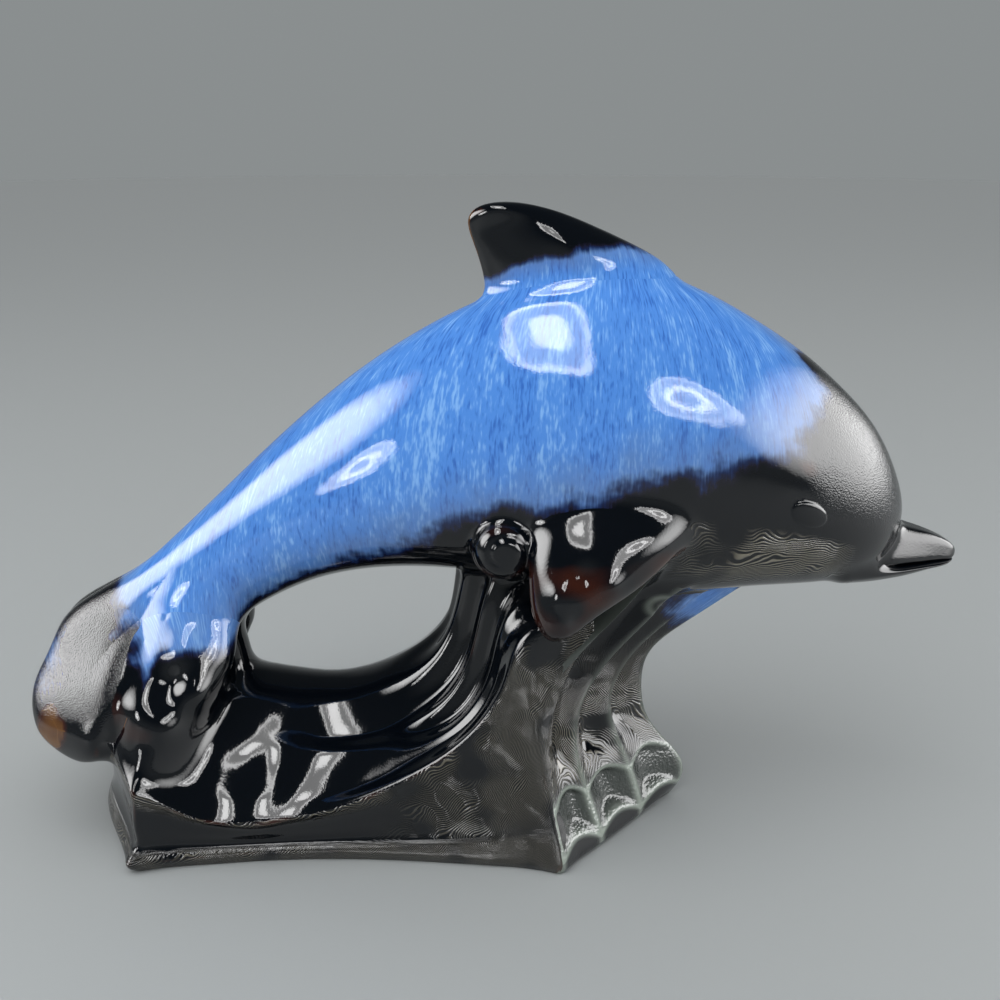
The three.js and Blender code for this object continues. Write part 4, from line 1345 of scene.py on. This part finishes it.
    def curl(self) -> Clay:
        """Scroll of the wave beside the right flipper: a ball with a groove that winds in to its middle.

        At polar angle p and turn a the groove sinks by its depth times cos^8 of half of a + 7 p.

        Returns:
            The scroll's closed surface.
        """
        centre = self.dolphin.skin_at(*self.curl_place) + SIDEWAYS * 0.08 * self.curl_diameter
        polar = np.linspace(0, np.pi, 120)[:, None]
        turn = np.linspace(0, 2 * np.pi, 160, endpoint=False)[None, :]
        groove = np.cos((turn + 7 * polar) / 2) ** 8 * ease((polar - 0.15) / 0.3) * ease((1.7 - polar) / 0.5)
        radius = self.curl_diameter / 2 - 0.5 * groove - 1.2 * hump(polar, 0, 0.4)
        out = np.sin(polar)
        grid = np.stack([out * np.cos(turn), -np.cos(polar) * 0.95 + 0 * turn, out * np.sin(turn)], axis=-1)
        clay = self.marked("right_curl", centre + grid * radius[..., None])
        off = np.hypot(clay.points[:, 0] - centre[0], clay.points[:, 2] - centre[2])
        clay.marks["brown"] = 0.42 * hump(off, 0.42 * self.curl_diameter, 2.0)
        return clay

    def foam(self) -> Clay:
        """Splash lobe that carries the tail stock on the right-hand side.

        Returns:
            The lobe's closed surface.
        """
        rows = [
            ((-34.3, 0.17, 39.8), (-40.9, 0.17, 38.5), 0.5), ((-31.8, 0.29, 36.6), (-43.4, 0.27, 34.7), 0.85),
            ((-31.9, 0.4, 31.5), (-44.7, 0.42, 28.9), 1), ((-34.6, 0.5, 25), (-44.9, 0.55, 23.1), 1.05),
            ((-37.2, 0.58, 19.4), (-43.6, 0.64, 18.4), 0.85), ((-40.4, 0.64, 15.0), (-40.4, 0.64, 15.0), 0),
        ]
        lead = self.placed(tuple(row[0] for row in rows))
        trail = self.placed(tuple(row[1] for row in rows))
        half = np.array([row[2] for row in rows]) * self.foam_thickness / 2
        clay = Limb("right_foam", lead, trail, half).clay()
        clay.lump(self.foam_lumps)
        x, _, z = clay.points.T
        clay.marks["brown"] = 0.52 * hump(np.hypot(x - self.foam_spot[0], z - self.foam_spot[1]), 0, 8)
        # The blue ends level, apart from one drip
        clay.marks["blue"] = z - 54.5 + 7 * hump(x, -95.2, 2.4)
        return clay

    def post(self) -> Clay:
        """Short strut between the tail stock and the rim, waisted like a bone.

        Returns:
            The strut's closed surface.
        """
        rows = [
            (-32.6, 21.2, 1.5), (-32.6, 23.1, 1.5), (-32.4, 27.6, 1.15), (-32.7, 32.1, 1),
            (-33.5, 36.6, 1.25), (-34.1, 41.1, 1.5), (-34.1, 42.4, 0),
        ]
        middle = self.placed(tuple((row[0], 0, row[1]) for row in rows))
        wide = np.array([row[2] for row in rows])
        reach = np.array([self.post_length / 2, 0, 0]) * wide[:, None]
        limb = Limb("tail_post", middle + reach, middle - reach, wide * self.post_width / 2, across=SIDEWAYS)
        return limb.clay()

    def parts(self) -> list[Clay]:
        """All the wave's parts, the paired ones on the right-hand side."""
        return [self.base(), self.crest(), self.curl(), self.foam(), self.post()]


# The joints, each with the reach of its fillet
LUTINGS = [
    Luting("body_shell", "dorsal_fin", 4),
    Luting("body_shell", "upper_beak", 2.5),
    Luting("body_shell", "lower_jaw", 7),
    Luting("body_shell", "right_eye", 0.9),
    Luting("body_shell", "right_flipper", 5),
    Luting("body_shell", "right_curl", 2.5),
    Luting("body_shell", "wave_crest", 3.5),
    Luting("body_shell", "wave_base", 4),
    Luting("body_shell", "right_fluke", 13),
    Luting("body_shell", "right_foam", 12),
    Luting("body_shell", "tail_post", 6),
    Luting("right_flipper", "right_curl", 2),
    Luting("right_flipper", "wave_crest", 3),
    Luting("right_curl", "wave_base", 3),
    Luting("right_curl", "wave_crest", 2),
    Luting("right_fluke", "right_foam", 9),
    Luting("right_fluke", "wave_base", 8),
    Luting("right_foam", "wave_base", 10),
    Luting("tail_post", "wave_base", 6),
    Luting("wave_crest", "wave_base", 4),
]

# The glaze slot of each part
SLOTS = {
    "body_shell": Slot.BODY,
    **dict.fromkeys(
        ("dorsal_fin", "upper_beak", "lower_jaw", "right_eye", "right_flipper", "right_fluke"), Slot.LIMB,
    ),
    **dict.fromkeys(("wave_base", "wave_crest", "right_curl", "right_foam", "tail_post"), Slot.WAVE),
}

# Parts whose ridges show brown through the glaze, and how much
WORN = {
    "dorsal_fin": 0.8, "right_flipper": 0.8, "right_fluke": 0.6, "right_foam": 0.7, "wave_base": 0.42,
}


# Glazes


# Marks on the skin that the glazes read, apart from the flow
MARKS = ("blue", "brown", "grain", "lined", "creep", "rim")
# Distance inside the blue glaze that stands for none of it, in millimetres
NO_BLUE = -50.0
# Settings that many nodes share: an eased step from 0 to 1, and a blend of two colours
EASED = {"interpolation_type": "SMOOTHSTEP"}
COLOURS = {"data_type": "RGBA", "out": 2}


def linear(text: str) -> tuple[float, float, float, float]:
    """Turns an sRGB hex colour into the linear values that Blender's sockets take.

    Args:
        text: The colour, as a hash sign and six hex digits.

    Returns:
        Red, green, blue and an alpha of 1.
    """
    parts = [int(text[i : i + 2], 16) / 255 for i in (1, 3, 5)]
    red, green, blue = (c / 12.92 if c <= 0.04045 else ((c + 0.055) / 1.055) ** 2.4 for c in parts)
    return red, green, blue, 1.0


class Recipe:
    """The node tree of a material, a lamp or the world, filled node by node."""

    def __init__(self, owner: bpy.types.ID) -> None:
        """Starts an empty tree.

        Args:
            owner: What the tree belongs to.
        """
        owner.use_nodes = True
        self.owner = owner
        self.tree = owner.node_tree
        self.tree.nodes.clear()

    def add(self, kind: str, inputs: tuple | dict = (), out: int | str = 0, stops: tuple = (),
            **settings: object) -> bpy.types.NodeSocket | None:
        """Adds a node with its settings and links.

        Args:
            kind: Blender's name for the node, without "ShaderNode" in front.
            inputs: Output sockets or plain values, in the order of the inputs, or by name or number.
            out: Name or number of the output that is handed back.
            stops: Place and shade of each stop of a colour ramp, the shade as sRGB hex or a grey number.
            settings: Properties of the node.

        Returns:
            The output, or None from a node that has none.
        """
        node = self.tree.nodes.new("ShaderNode" + kind)
        for key, value in settings.items():
            setattr(node, key, value)
        for key, value in inputs.items() if isinstance(inputs, dict) else enumerate(inputs):
            socket = node.inputs[key]
            if isinstance(value, bpy.types.NodeSocket):
                self.tree.links.new(value, socket)
            else:
                socket.default_value = value
        if stops:
            elements = node.color_ramp.elements
            elements[0].position, elements[1].position = stops[0][0], stops[-1][0]
            for place, _ in stops[1:-1]:
                elements.new(place)
            for element, (_, shade) in zip(elements, stops):
                element.color = linear(shade) if isinstance(shade, str) else (shade, shade, shade, 1.0)
        return node.outputs[out] if node.outputs else None


@dataclass(frozen=True)
class DippedGlaze:
    """Glossy stoneware glaze, dipped black and in places poured over with a blue one that runs in streaks.

    The eye sees a wet, deep black with soft-edged lamps in it, a blue made of fine light and dark runs, and
    golden brown where the black is thin over a sharp ridge. Sizes and reaches are in millimetres.
    """

    name: str
    # The black where it lies thick, and the browns where it thins over a ridge
    black: str = "#060a10"
    red_brown: str = "#3a1a10"
    gold_brown: str = "#6b4824"
    # Pale colour painted as a sheen on the wavy lines, and on the rims a pale glaze break with a painted
    # sheen, with how much of each shows
    painted_line_sheen: str = "#9a9484"
    rim: str = "#a3ada3"
    painted_line_sheen_strength: float = 0.5
    rim_strength: float = 0.75
    # The blue, from its lower edge to its lightest runs
    dusk: str = "#1c1a2c"
    edge: str = "#15264f"
    smoky: str = "#6680ac"
    deep: str = "#3a70c8"
    mid: str = "#5592e6"
    light: str = "#86baf8"
    # Width and length of the blue's runs, from single ones to broad bands and fine flecks
    run: tuple[float, float] = (0.55, 6.0)
    broad_run: tuple[float, float] = (5.0, 45.0)
    fine_run: tuple[float, float] = (0.4, 2.6)
    # Sum of the three runs at which the blue is at its deepest and at its lightest
    tones: tuple[float, float] = (1.12, 1.88)
    # Width of the lumps in the blue's lower edge, and how far lumps and runs push that edge about
    lump_size: float = 9.0
    lump_reach: float = 13.0
    run_reach: float = 3.0
    # Distance inside that edge at which the blue starts to cover the black and at which it does, and the
    # same for its change out of dusk, out of its dark edge and out of its haze
    covered: tuple[float, float] = (-2.4, 0.2)
    dusky: tuple[float, float] = (-1.2, 0.8)
    edged: tuple[float, float] = (0.0, 4.0)
    hazed: tuple[float, float] = (-2.0, 16.0)
    haze: float = 0.7
    # Size of the brown patches, of the net of brown veins and of the gaps in that net
    patch_size: float = 9.0
    vein_size: float = 8.0
    gap_size: float = 6.0
    # Width of a vein as a share of the net, its strength, and how brown a place must be to have veins
    vein_width: float = 0.022
    vein_strength: float = 0.7
    veined: tuple[float, float] = (0.425, 0.46)
    # Distance between two wavy lines of ripple and painted sheen, length and reach of their bends, and size
    # of their patches
    line: float = 0.72
    bend_size: float = 7.0
    bend_reach: float = 7.0
    line_patch: float = 13.0
    # Size of the swells, of the orange peel and of the pebbles, the last two as coarse as they need to show
    swell: float = 7.0
    peel: float = 0.55
    pebble: float = 0.42
    line_relief: float = 1.8
    roughness: float = 0.05
    ior: float = 1.5

    def material(self) -> bpy.types.Material:
        """Builds the glaze's nodes.

        Returns:
            The material.
        """
        recipe = Recipe(bpy.data.materials.new(self.name))
        place = recipe.add("TexCoord", out="Object")
        flow = recipe.add("Attribute", out="Vector", attribute_name="flow")
        marks = {key: recipe.add("Attribute", out="Fac", attribute_name=key) for key in MARKS}
        poured, cover = self.poured(recipe, flow, marks["blue"], place)
        dipped = self.dipped(recipe, marks["brown"], place)
        lines = self.contours(recipe, marks, place)
        # Painted pale sheen laid into the colour along the wavy lines and on the rims
        painted_sheens = ((lines, self.painted_line_sheen_strength, self.painted_line_sheen), (marks["rim"], self.rim_strength, self.rim))
        for shown, strength, shade in painted_sheens:
            share = recipe.add("Math", (shown, strength), operation="MULTIPLY")
            dipped = recipe.add("Mix", {0: share, 6: dipped, 7: linear(shade)}, **COLOURS)
        colour = recipe.add("Mix", {0: cover, 6: dipped, 7: poured}, **COLOURS)
        surface = recipe.add("BsdfPrincipled", {
            "Base Color": colour, "Roughness": self.roughness, "IOR": self.ior,
            "Normal": self.relief(recipe, marks["grain"], place, lines),
        })
        recipe.add("OutputMaterial", (surface,))
        return recipe.owner

    def poured(self, recipe: Recipe, flow: bpy.types.NodeSocket, blue: bpy.types.NodeSocket,
               place: bpy.types.NodeSocket) -> tuple[bpy.types.NodeSocket, bpy.types.NodeSocket]:
        """The blue glaze: fine light and dark runs, smoky near its lower edge and lumpy along it.

        The tone is the sum of the three sizes of runs. The distance inside the edge is moved by noise less a
        half, times its reach, and each shade of the edge gives way to the one further in over its band.

        Args:
            recipe: The material's nodes.
            flow: Place across and along the runs, in millimetres.
            blue: Distance inside the edge, in millimetres.
            place: Place on the piece, in metres.

        Returns:
            The colour, and how far the blue covers the black.
        """
        runs = self.streaks(recipe, flow, self.run, 3.0)
        broad = self.streaks(recipe, flow, self.broad_run, 2.0)
        fine = self.streaks(recipe, flow, self.fine_run, 1.0)
        blend = recipe.add("Math", (runs, broad), operation="ADD")
        blend = recipe.add("Math", (blend, fine), operation="ADD")
        tone = recipe.add("MapRange", (blend, *self.tones))
        stops = ((0.0, self.deep), (0.4, self.mid), (0.6, self.mid), (1.0, self.light))
        colour = recipe.add("ValToRGB", (tone,), stops=stops)
        lumps = recipe.add("TexNoise", {"Vector": place, "Scale": METRE / self.lump_size, "Detail": 3.0})
        inside = blue
        for noise, reach in ((lumps, self.lump_reach), (runs, self.run_reach)):
            push = recipe.add("Math", (noise, 0.5), operation="SUBTRACT")
            inside = recipe.add("Math", (push, reach, inside), operation="MULTIPLY_ADD")
        smoky = recipe.add("Mix", {0: self.haze, 6: colour, 7: linear(self.smoky)}, **COLOURS)
        shades = ((self.hazed, smoky), (self.edged, linear(self.edge)), (self.dusky, linear(self.dusk)))
        for band, outer in shades:
            share = recipe.add("MapRange", (inside, *band), **EASED)
            colour = recipe.add("Mix", {0: share, 6: outer, 7: colour}, **COLOURS)
        return colour, recipe.add("MapRange", (inside, *self.covered), **EASED)

    def dipped(self, recipe: Recipe, brown: bpy.types.NodeSocket,
               place: bpy.types.NodeSocket) -> bpy.types.NodeSocket:
        """The black glaze, reddish and then golden brown where it is thin, and on the flippers' lower part
        where a reddish reflection is painted.

        How bare it is comes to the mark, plus 0.9 of a patch less 0.35, plus the veins where it is brown.

        Args:
            recipe: The material's nodes.
            brown: How thin the glaze is, with a painted reddish reflection on the flippers' lower part.
            place: Place on the piece, in metres.

        Returns:
            The colour.
        """
        scale = METRE / self.patch_size
        patches = recipe.add("TexVoronoi", {"Vector": place, "Scale": scale}, feature="SMOOTH_F1")
        scale = METRE / self.vein_size
        net = recipe.add("TexVoronoi", {"Vector": place, "Scale": scale}, feature="DISTANCE_TO_EDGE")
        gaps = recipe.add("TexNoise", {"Vector": place, "Scale": METRE / self.gap_size, "Detail": 1.0})
        veins = recipe.add("MapRange", (net, self.vein_width, 0.0), **EASED)
        veins = recipe.add("Math", (veins, self.vein_strength), operation="MULTIPLY")
        whole = recipe.add("MapRange", (gaps, 0.42, 0.58), **EASED)
        veins = recipe.add("Math", (whole, veins), operation="MULTIPLY")
        patches = recipe.add("Math", (patches, 0.35), operation="SUBTRACT")
        bare = recipe.add("Math", (patches, 0.9, brown), operation="MULTIPLY_ADD")
        shown = recipe.add("MapRange", (brown, *self.veined), **EASED)
        bare = recipe.add("Math", (veins, shown, bare), operation="MULTIPLY_ADD")
        stops = ((0.0, self.black), (0.4, self.black), (0.75, self.red_brown), (1.0, self.gold_brown))
        return recipe.add("ValToRGB", (bare,), stops=stops)

    def contours(self, recipe: Recipe, marks: dict[str, bpy.types.NodeSocket],
                 place: bpy.types.NodeSocket) -> bpy.types.NodeSocket:
        """Wavy lines like wood grain in patches along the wave, raised as ripples and painted as a pale
        sheen.

        A line lies where the sine of the creep, moved by slow noise, is high.

        Args:
            recipe: The material's nodes.
            marks: The marks on the skin.
            place: Place on the piece, in metres.

        Returns:
            How far each place lies on a line, from 0 to 1.
        """
        bends = recipe.add("TexNoise", {"Vector": place, "Scale": METRE / self.bend_size, "Detail": 0.5})
        level = recipe.add("Math", (bends, self.bend_reach, marks["creep"]), operation="MULTIPLY_ADD")
        level = recipe.add("Math", (level, 2 * math.pi / self.line), operation="MULTIPLY")
        level = recipe.add("Math", (level,), operation="SINE")
        patches = recipe.add("TexNoise", {"Vector": place, "Scale": METRE / self.line_patch, "Detail": 1.0})
        patches = recipe.add("MapRange", (patches, 0.3, 0.54), **EASED)
        shown = recipe.add("Math", (patches, marks["lined"]), operation="MULTIPLY")
        lines = recipe.add("MapRange", (level, -0.2, 1.0), **EASED)
        return recipe.add("Math", (lines, shown), operation="MULTIPLY")

    def relief(self, recipe: Recipe, grain: bpy.types.NodeSocket, place: bpy.types.NodeSocket,
               lines: bpy.types.NodeSocket) -> bpy.types.NodeSocket:
        """Swells and orange peel all over, and pebbles or lines where the glaze is thin, as a bump.

        Args:
            recipe: The material's nodes.
            grain: Where the glaze is pebbled.
            place: Place on the piece, in metres.
            lines: Where creep lines lie.

        Returns:
            The normal.
        """
        swell, peel, beads = (
            recipe.add("TexNoise", {"Vector": place, "Scale": METRE / size, "Detail": 1.0})
            for size in (self.swell, self.peel, self.pebble)
        )
        rough = recipe.add("Math", (beads, grain), operation="MULTIPLY")
        rough = recipe.add("Math", (lines, self.line_relief, rough), operation="MULTIPLY_ADD")
        # Each layer with its strength and its height in millimetres
        layers = ((swell, 0.12, 0.6), (peel, 0.05, 0.2), (rough, 0.5, 0.6 * self.pebble))
        under = {}
        for height, strength, depth in layers:
            links = {"Height": height, "Strength": strength, "Distance": depth / METRE, **under}
            under = {"Normal": recipe.add("Bump", links)}
        return under["Normal"]

    @staticmethod
    def streaks(recipe: Recipe, flow: bpy.types.NodeSocket, size: tuple[float, float],
                detail: float) -> bpy.types.NodeSocket:
        """Noise drawn out along the runs.

        Args:
            recipe: The material's nodes.
            flow: Place across and along the runs, in millimetres.
            size: Width and length of a run, in millimetres.
            detail: How many times finer noise is laid over it.

        Returns:
            The noise, about 0.5.
        """
        scale = (1 / size[0], 1 / size[1], 1.0)
        place = recipe.add("VectorMath", (flow, scale), operation="MULTIPLY")
        return recipe.add("TexNoise", {"Vector": place, "Scale": 1.0, "Detail": detail})


@dataclass
class Kiln:
    """Fires the parts: turns each into a mesh in metres, glazes it and hands it to the frame."""

    glazes: dict[Slot, bpy.types.Material] = field(default_factory=dict)

    def fire(self, clay: Clay, slot: Slot) -> bpy.types.Object:
        """Makes a part's mesh, in the row's frame.

        Args:
            clay: The part.
            slot: Its glaze slot.

        Returns:
            The finished object.
        """
        mesh = bpy.data.meshes.new(clay.name + "_glazed")
        places = (clay.points + CAST_SHIFT) / METRE
        mesh.vertices.add(len(places))
        mesh.vertices.foreach_set("co", places.astype(np.float32).ravel())
        held = clay.faces >= 0
        count = held.sum(axis=1)
        corners = clay.faces[held]
        mesh.loops.add(len(corners))
        mesh.loops.foreach_set("vertex_index", corners.astype(np.int32))
        mesh.polygons.add(len(count))
        starts = np.concatenate([[0], np.cumsum(count)[:-1]])
        mesh.polygons.foreach_set("loop_start", starts.astype(np.int32))
        mesh.update(calc_edges=True)
        mesh.validate()
        mesh.shade_smooth()
        mesh.normals_split_custom_set_from_vertices(clay.shading)
        self.mark(mesh, clay)
        mesh.materials.append(self.glazes[slot])
        piece = bpy.data.objects.new(clay.name + "_glazed", mesh)
        bpy.context.scene.collection.objects.link(piece)
        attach(piece, "root")
        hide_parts(clay.name)
        log.info("%s: %d corners, %d faces", piece.name, len(places), len(count))
        return piece

    @staticmethod
    def mark(mesh: bpy.types.Mesh, clay: Clay) -> None:
        """Stores the flow and the marks on the corners, each mark that the part lacks as none of it.

        Args:
            mesh: The mesh.
            clay: The part.
        """
        flow = clay.marks["flow"].astype(np.float32)
        mesh.attributes.new("flow", "FLOAT_VECTOR", "POINT").data.foreach_set("vector", flow.ravel())
        for key in MARKS:
            none = NO_BLUE if key == "blue" else 0.0
            values = clay.marks.get(key, np.full(len(clay.points), none)).astype(np.float32)
            mesh.attributes.new(key, "FLOAT", "POINT").data.foreach_set("value", values)


# The studio


class Face(Enum):
    """How a lamp's front glows, as stops of distance from its middle and brightness."""

    SOFT = ((0.0, 1.0), (0.55, 0.95), (0.85, 0.35), (1.0, 0.0))
    RING = (
        (0.0, 0.25), (0.3, 0.3), (0.38, 1.0), (0.5, 1.0), (0.58, 0.3), (0.85, 0.3), (0.92, 0.6), (1.0, 0.6),
    )
    FRAME = (
        (0.0, 1.0), (0.36, 0.9), (0.46, 0.22), (0.76, 0.25), (0.82, 0.7), (0.93, 0.7), (0.95, 0.0),
        (1.0, 0.0),
    )


@dataclass
class Studio:
    """Pale floor, soft lamps and the photograph's camera, in metres and degrees."""

    floor_half: float = 3.0
    floor_sides: int = 96
    pale: str = "#a6abac"
    ceiling: str = "#4c5153"
    ambient: float = 0.75
    # Strength of the surround that shows, as a share of the light it gives
    shown_share: float = 0.89
    # How far the lamps stand off, and the height of the point that they face
    stand_off: float = 0.95
    aim_height: float = 0.09
    camera_back: float = 0.3281
    camera_up: float = 0.1986
    camera_pitch: float = 18.0
    # Focal length and film width in millimetres, and the nearest thing that shows
    lens: float = 45.0
    film: float = 36.0
    nearest: float = 0.01

    def floor(self) -> None:
        """A wide flat sheet, drawn as a fan of radius times cosine and sine of the turn."""
        turn = np.linspace(0, 2 * np.pi, self.floor_sides, endpoint=False)
        ring = np.stack([np.cos(turn), np.sin(turn), 0 * turn], axis=1) * self.floor_half
        corners = np.concatenate([np.zeros((1, 3)), ring])
        number = np.arange(self.floor_sides)
        faces = np.stack([0 * number, number + 1, (number + 1) % self.floor_sides + 1], axis=1)
        mesh = bpy.data.meshes.new("floor")
        mesh.from_pydata(corners.tolist(), [], faces.tolist())
        recipe = Recipe(bpy.data.materials.new("matt_pale_table"))
        surface = recipe.add("BsdfPrincipled", {"Base Color": linear(self.pale), "Roughness": 0.6})
        recipe.add("OutputMaterial", (surface,))
        mesh.materials.append(recipe.owner)
        sheet = bpy.data.objects.new("floor", mesh)
        bpy.context.scene.collection.objects.link(sheet)

    def world(self) -> None:
        """A pale surround, darker overhead, for the camera and the glaze to see, and plain white light."""
        world = bpy.data.worlds.new("studio_air")
        bpy.context.scene.world = world
        recipe = Recipe(world)
        way = recipe.add("TexCoord", out="Generated")
        up = recipe.add("SeparateXYZ", (way,), out="Z")
        dome = recipe.add("ValToRGB", (up,), stops=((0.07, self.pale), (0.5, self.ceiling)))
        seen = recipe.add("Background", (dome, self.ambient * self.shown_share))
        lit = recipe.add("Background", ((1, 1, 1, 1), self.ambient))
        rays = recipe.add("LightPath").node.outputs
        shown = recipe.add("Math", (rays["Is Camera Ray"], rays["Is Glossy Ray"]), operation="MAXIMUM")
        shown = recipe.add("Math", (shown, rays["Is Transmission Ray"]), operation="MAXIMUM")
        mixed = recipe.add("MixShader", (shown, lit, seen))
        recipe.add("OutputWorld", (mixed,))

    def lamp(self, name: str, turn: float, lift: float, size: tuple[float, float], shine: float,
             face: Face | None = None, along: tuple[float, float, float] = (0, 0, 1),
             skew: tuple[float, float] = (0.0, 1.0)) -> None:
        """An area lamp that faces the figurine. One with a face shows in the glaze but lights nothing, and
        one without lights the scene but isn't mirrored.

        Args:
            name: The lamp's name.
            turn: Degrees to the right of the camera's side, seen from the figurine.
            lift: Degrees above the table.
            size: Width and height, in metres.
            shine: Radiance of its brightest part, where 1 shows as white.
            face: How its front glows, or None for an even one.
            along: Direction that its height runs nearest to.
            skew: How far its glow leans across, and how much it is squeezed along its height.
        """
        data = bpy.data.lights.new(name, "AREA")
        data.shape = "RECTANGLE" if face in (None, Face.FRAME) else "ELLIPSE"
        data.size, data.size_y = size
        area = size[0] * size[1] * (math.pi / 4 if data.shape == "ELLIPSE" else 1)
        data.energy = shine * math.pi * area
        if face is not None:
            self.glow(data, face, skew)
        lamp = bpy.data.objects.new(name, data)
        bpy.context.scene.collection.objects.link(lamp)
        turn, lift = math.radians(turn), math.radians(lift)
        out = Vector((math.sin(turn) * math.cos(lift), -math.cos(turn) * math.cos(lift), math.sin(lift)))
        right = Vector(along).cross(out).normalized()
        lamp.rotation_euler = Matrix((right, out.cross(right), out)).transposed().to_euler()
        lamp.location = out * self.stand_off + Vector((0, 0, self.aim_height))
        lamp.visible_camera = False
        lamp.visible_diffuse = face is None
        lamp.visible_glossy = face is not None

    @staticmethod
    def glow(data: bpy.types.AreaLight, face: Face, skew: tuple[float, float]) -> None:
        """Makes the front of a lamp glow by the distance from its middle.

        That is (x^n + y^n)^(1/n), with n = 4 on a rectangle and 2 on an oval, and y leaning and squeezed.

        Args:
            data: The lamp.
            face: How its front glows.
            skew: How far the glow leans across, and how much it is squeezed along the lamp's height.
        """
        recipe = Recipe(data)
        place = recipe.add("NewGeometry", out="Parametric")
        off = recipe.add("VectorMath", (place, (2, 2, 0), (-1, -1, 0)), operation="MULTIPLY_ADD")
        sides = recipe.add("SeparateXYZ", (off,)).node.outputs
        high = recipe.add("Math", (sides["Y"], skew[1]), operation="MULTIPLY")
        high = recipe.add("Math", (sides["X"], skew[0], high), operation="MULTIPLY_ADD")
        power = 4 if data.shape == "RECTANGLE" else 2
        far = [recipe.add("Math", (side,), operation="ABSOLUTE") for side in (sides["X"], high)]
        far = [recipe.add("Math", (side, power), operation="POWER") for side in far]
        far = recipe.add("Math", tuple(far), operation="ADD")
        far = recipe.add("Math", (far, 1 / power), operation="POWER")
        glow = recipe.add("Emission", (recipe.add("ValToRGB", (far,), stops=face.value),))
        recipe.add("OutputLight", (glow,))

    def lamps(self) -> None:
        """One soft lamp that lights the figurine, and the fronts that the photograph's highlights mirror."""
        self.lamp("soft_key", -30, 60, (0.9, 0.9), 1.6)
        self.lamp("key_window", -35, 65, (0.33, 1.45), 17, Face.FRAME, (-0.11, 0.88, 0.47), (0.33, 1.39))
        self.lamp("round_fill", 31, 27, (0.42, 0.3), 18, Face.RING)
        self.lamp("side_window", -47, 14, (0.2, 0.34), 22, Face.RING)
        self.lamp("left_panel", -81, 27, (0.8, 0.8), 12, Face.SOFT)
        self.lamp("right_panel", 83, 17, (1.9, 0.8), 9.5, Face.SOFT)

    def camera(self) -> None:
        """The photograph's camera, level across and tipped down."""
        data = bpy.data.cameras.new("photo_camera")
        data.lens = self.lens
        data.sensor_width = self.film
        data.clip_start = self.nearest
        view = bpy.data.objects.new("photo_camera", data)
        bpy.context.scene.collection.objects.link(view)
        view.location = (CAST_SHIFT[0] / METRE, -self.camera_back, self.camera_up)
        view.rotation_euler = (math.radians(90 - self.camera_pitch), 0, 0)
        bpy.context.scene.camera = view

    def build(self) -> None:
        """Sets up everything round the figurine."""
        bpy.context.scene.view_settings.view_transform = "Standard"
        self.floor()
        self.world()
        self.lamps()
        self.camera()


def main() -> None:
    """Builds the dolphin and the wave, lutes and glazes them, and sets up the studio."""
    logging.basicConfig(level=logging.INFO, format="%(message)s")
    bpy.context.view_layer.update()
    dolphin = Dolphin()
    wave = Wave(dolphin)
    parts = {clay.name: clay for clay in dolphin.parts() + wave.parts()}
    slip = Slip(parts, LUTINGS)
    for name, clay in parts.items():
        if name in WORN:
            clay.wear(WORN[name])
        slip.run(name)
    kiln = Kiln({
        Slot.BODY: DippedGlaze("blue_reactive_glaze_poured_over_black").material(),
        Slot.LIMB: DippedGlaze("black_gloss_glaze_dipped", pebble=0.4).material(),
        Slot.WAVE: DippedGlaze("black_gloss_glaze_breaking_brown", pebble=0.8).material(),
    })
    for name, clay in parts.items():
        kiln.fire(clay, SLOTS[name])
        if name.startswith("right_"):
            kiln.fire(clay.mirrored(name.replace("right_", "left_")), SLOTS[name])
    Studio().build()


if __name__ == "__main__":
    main()
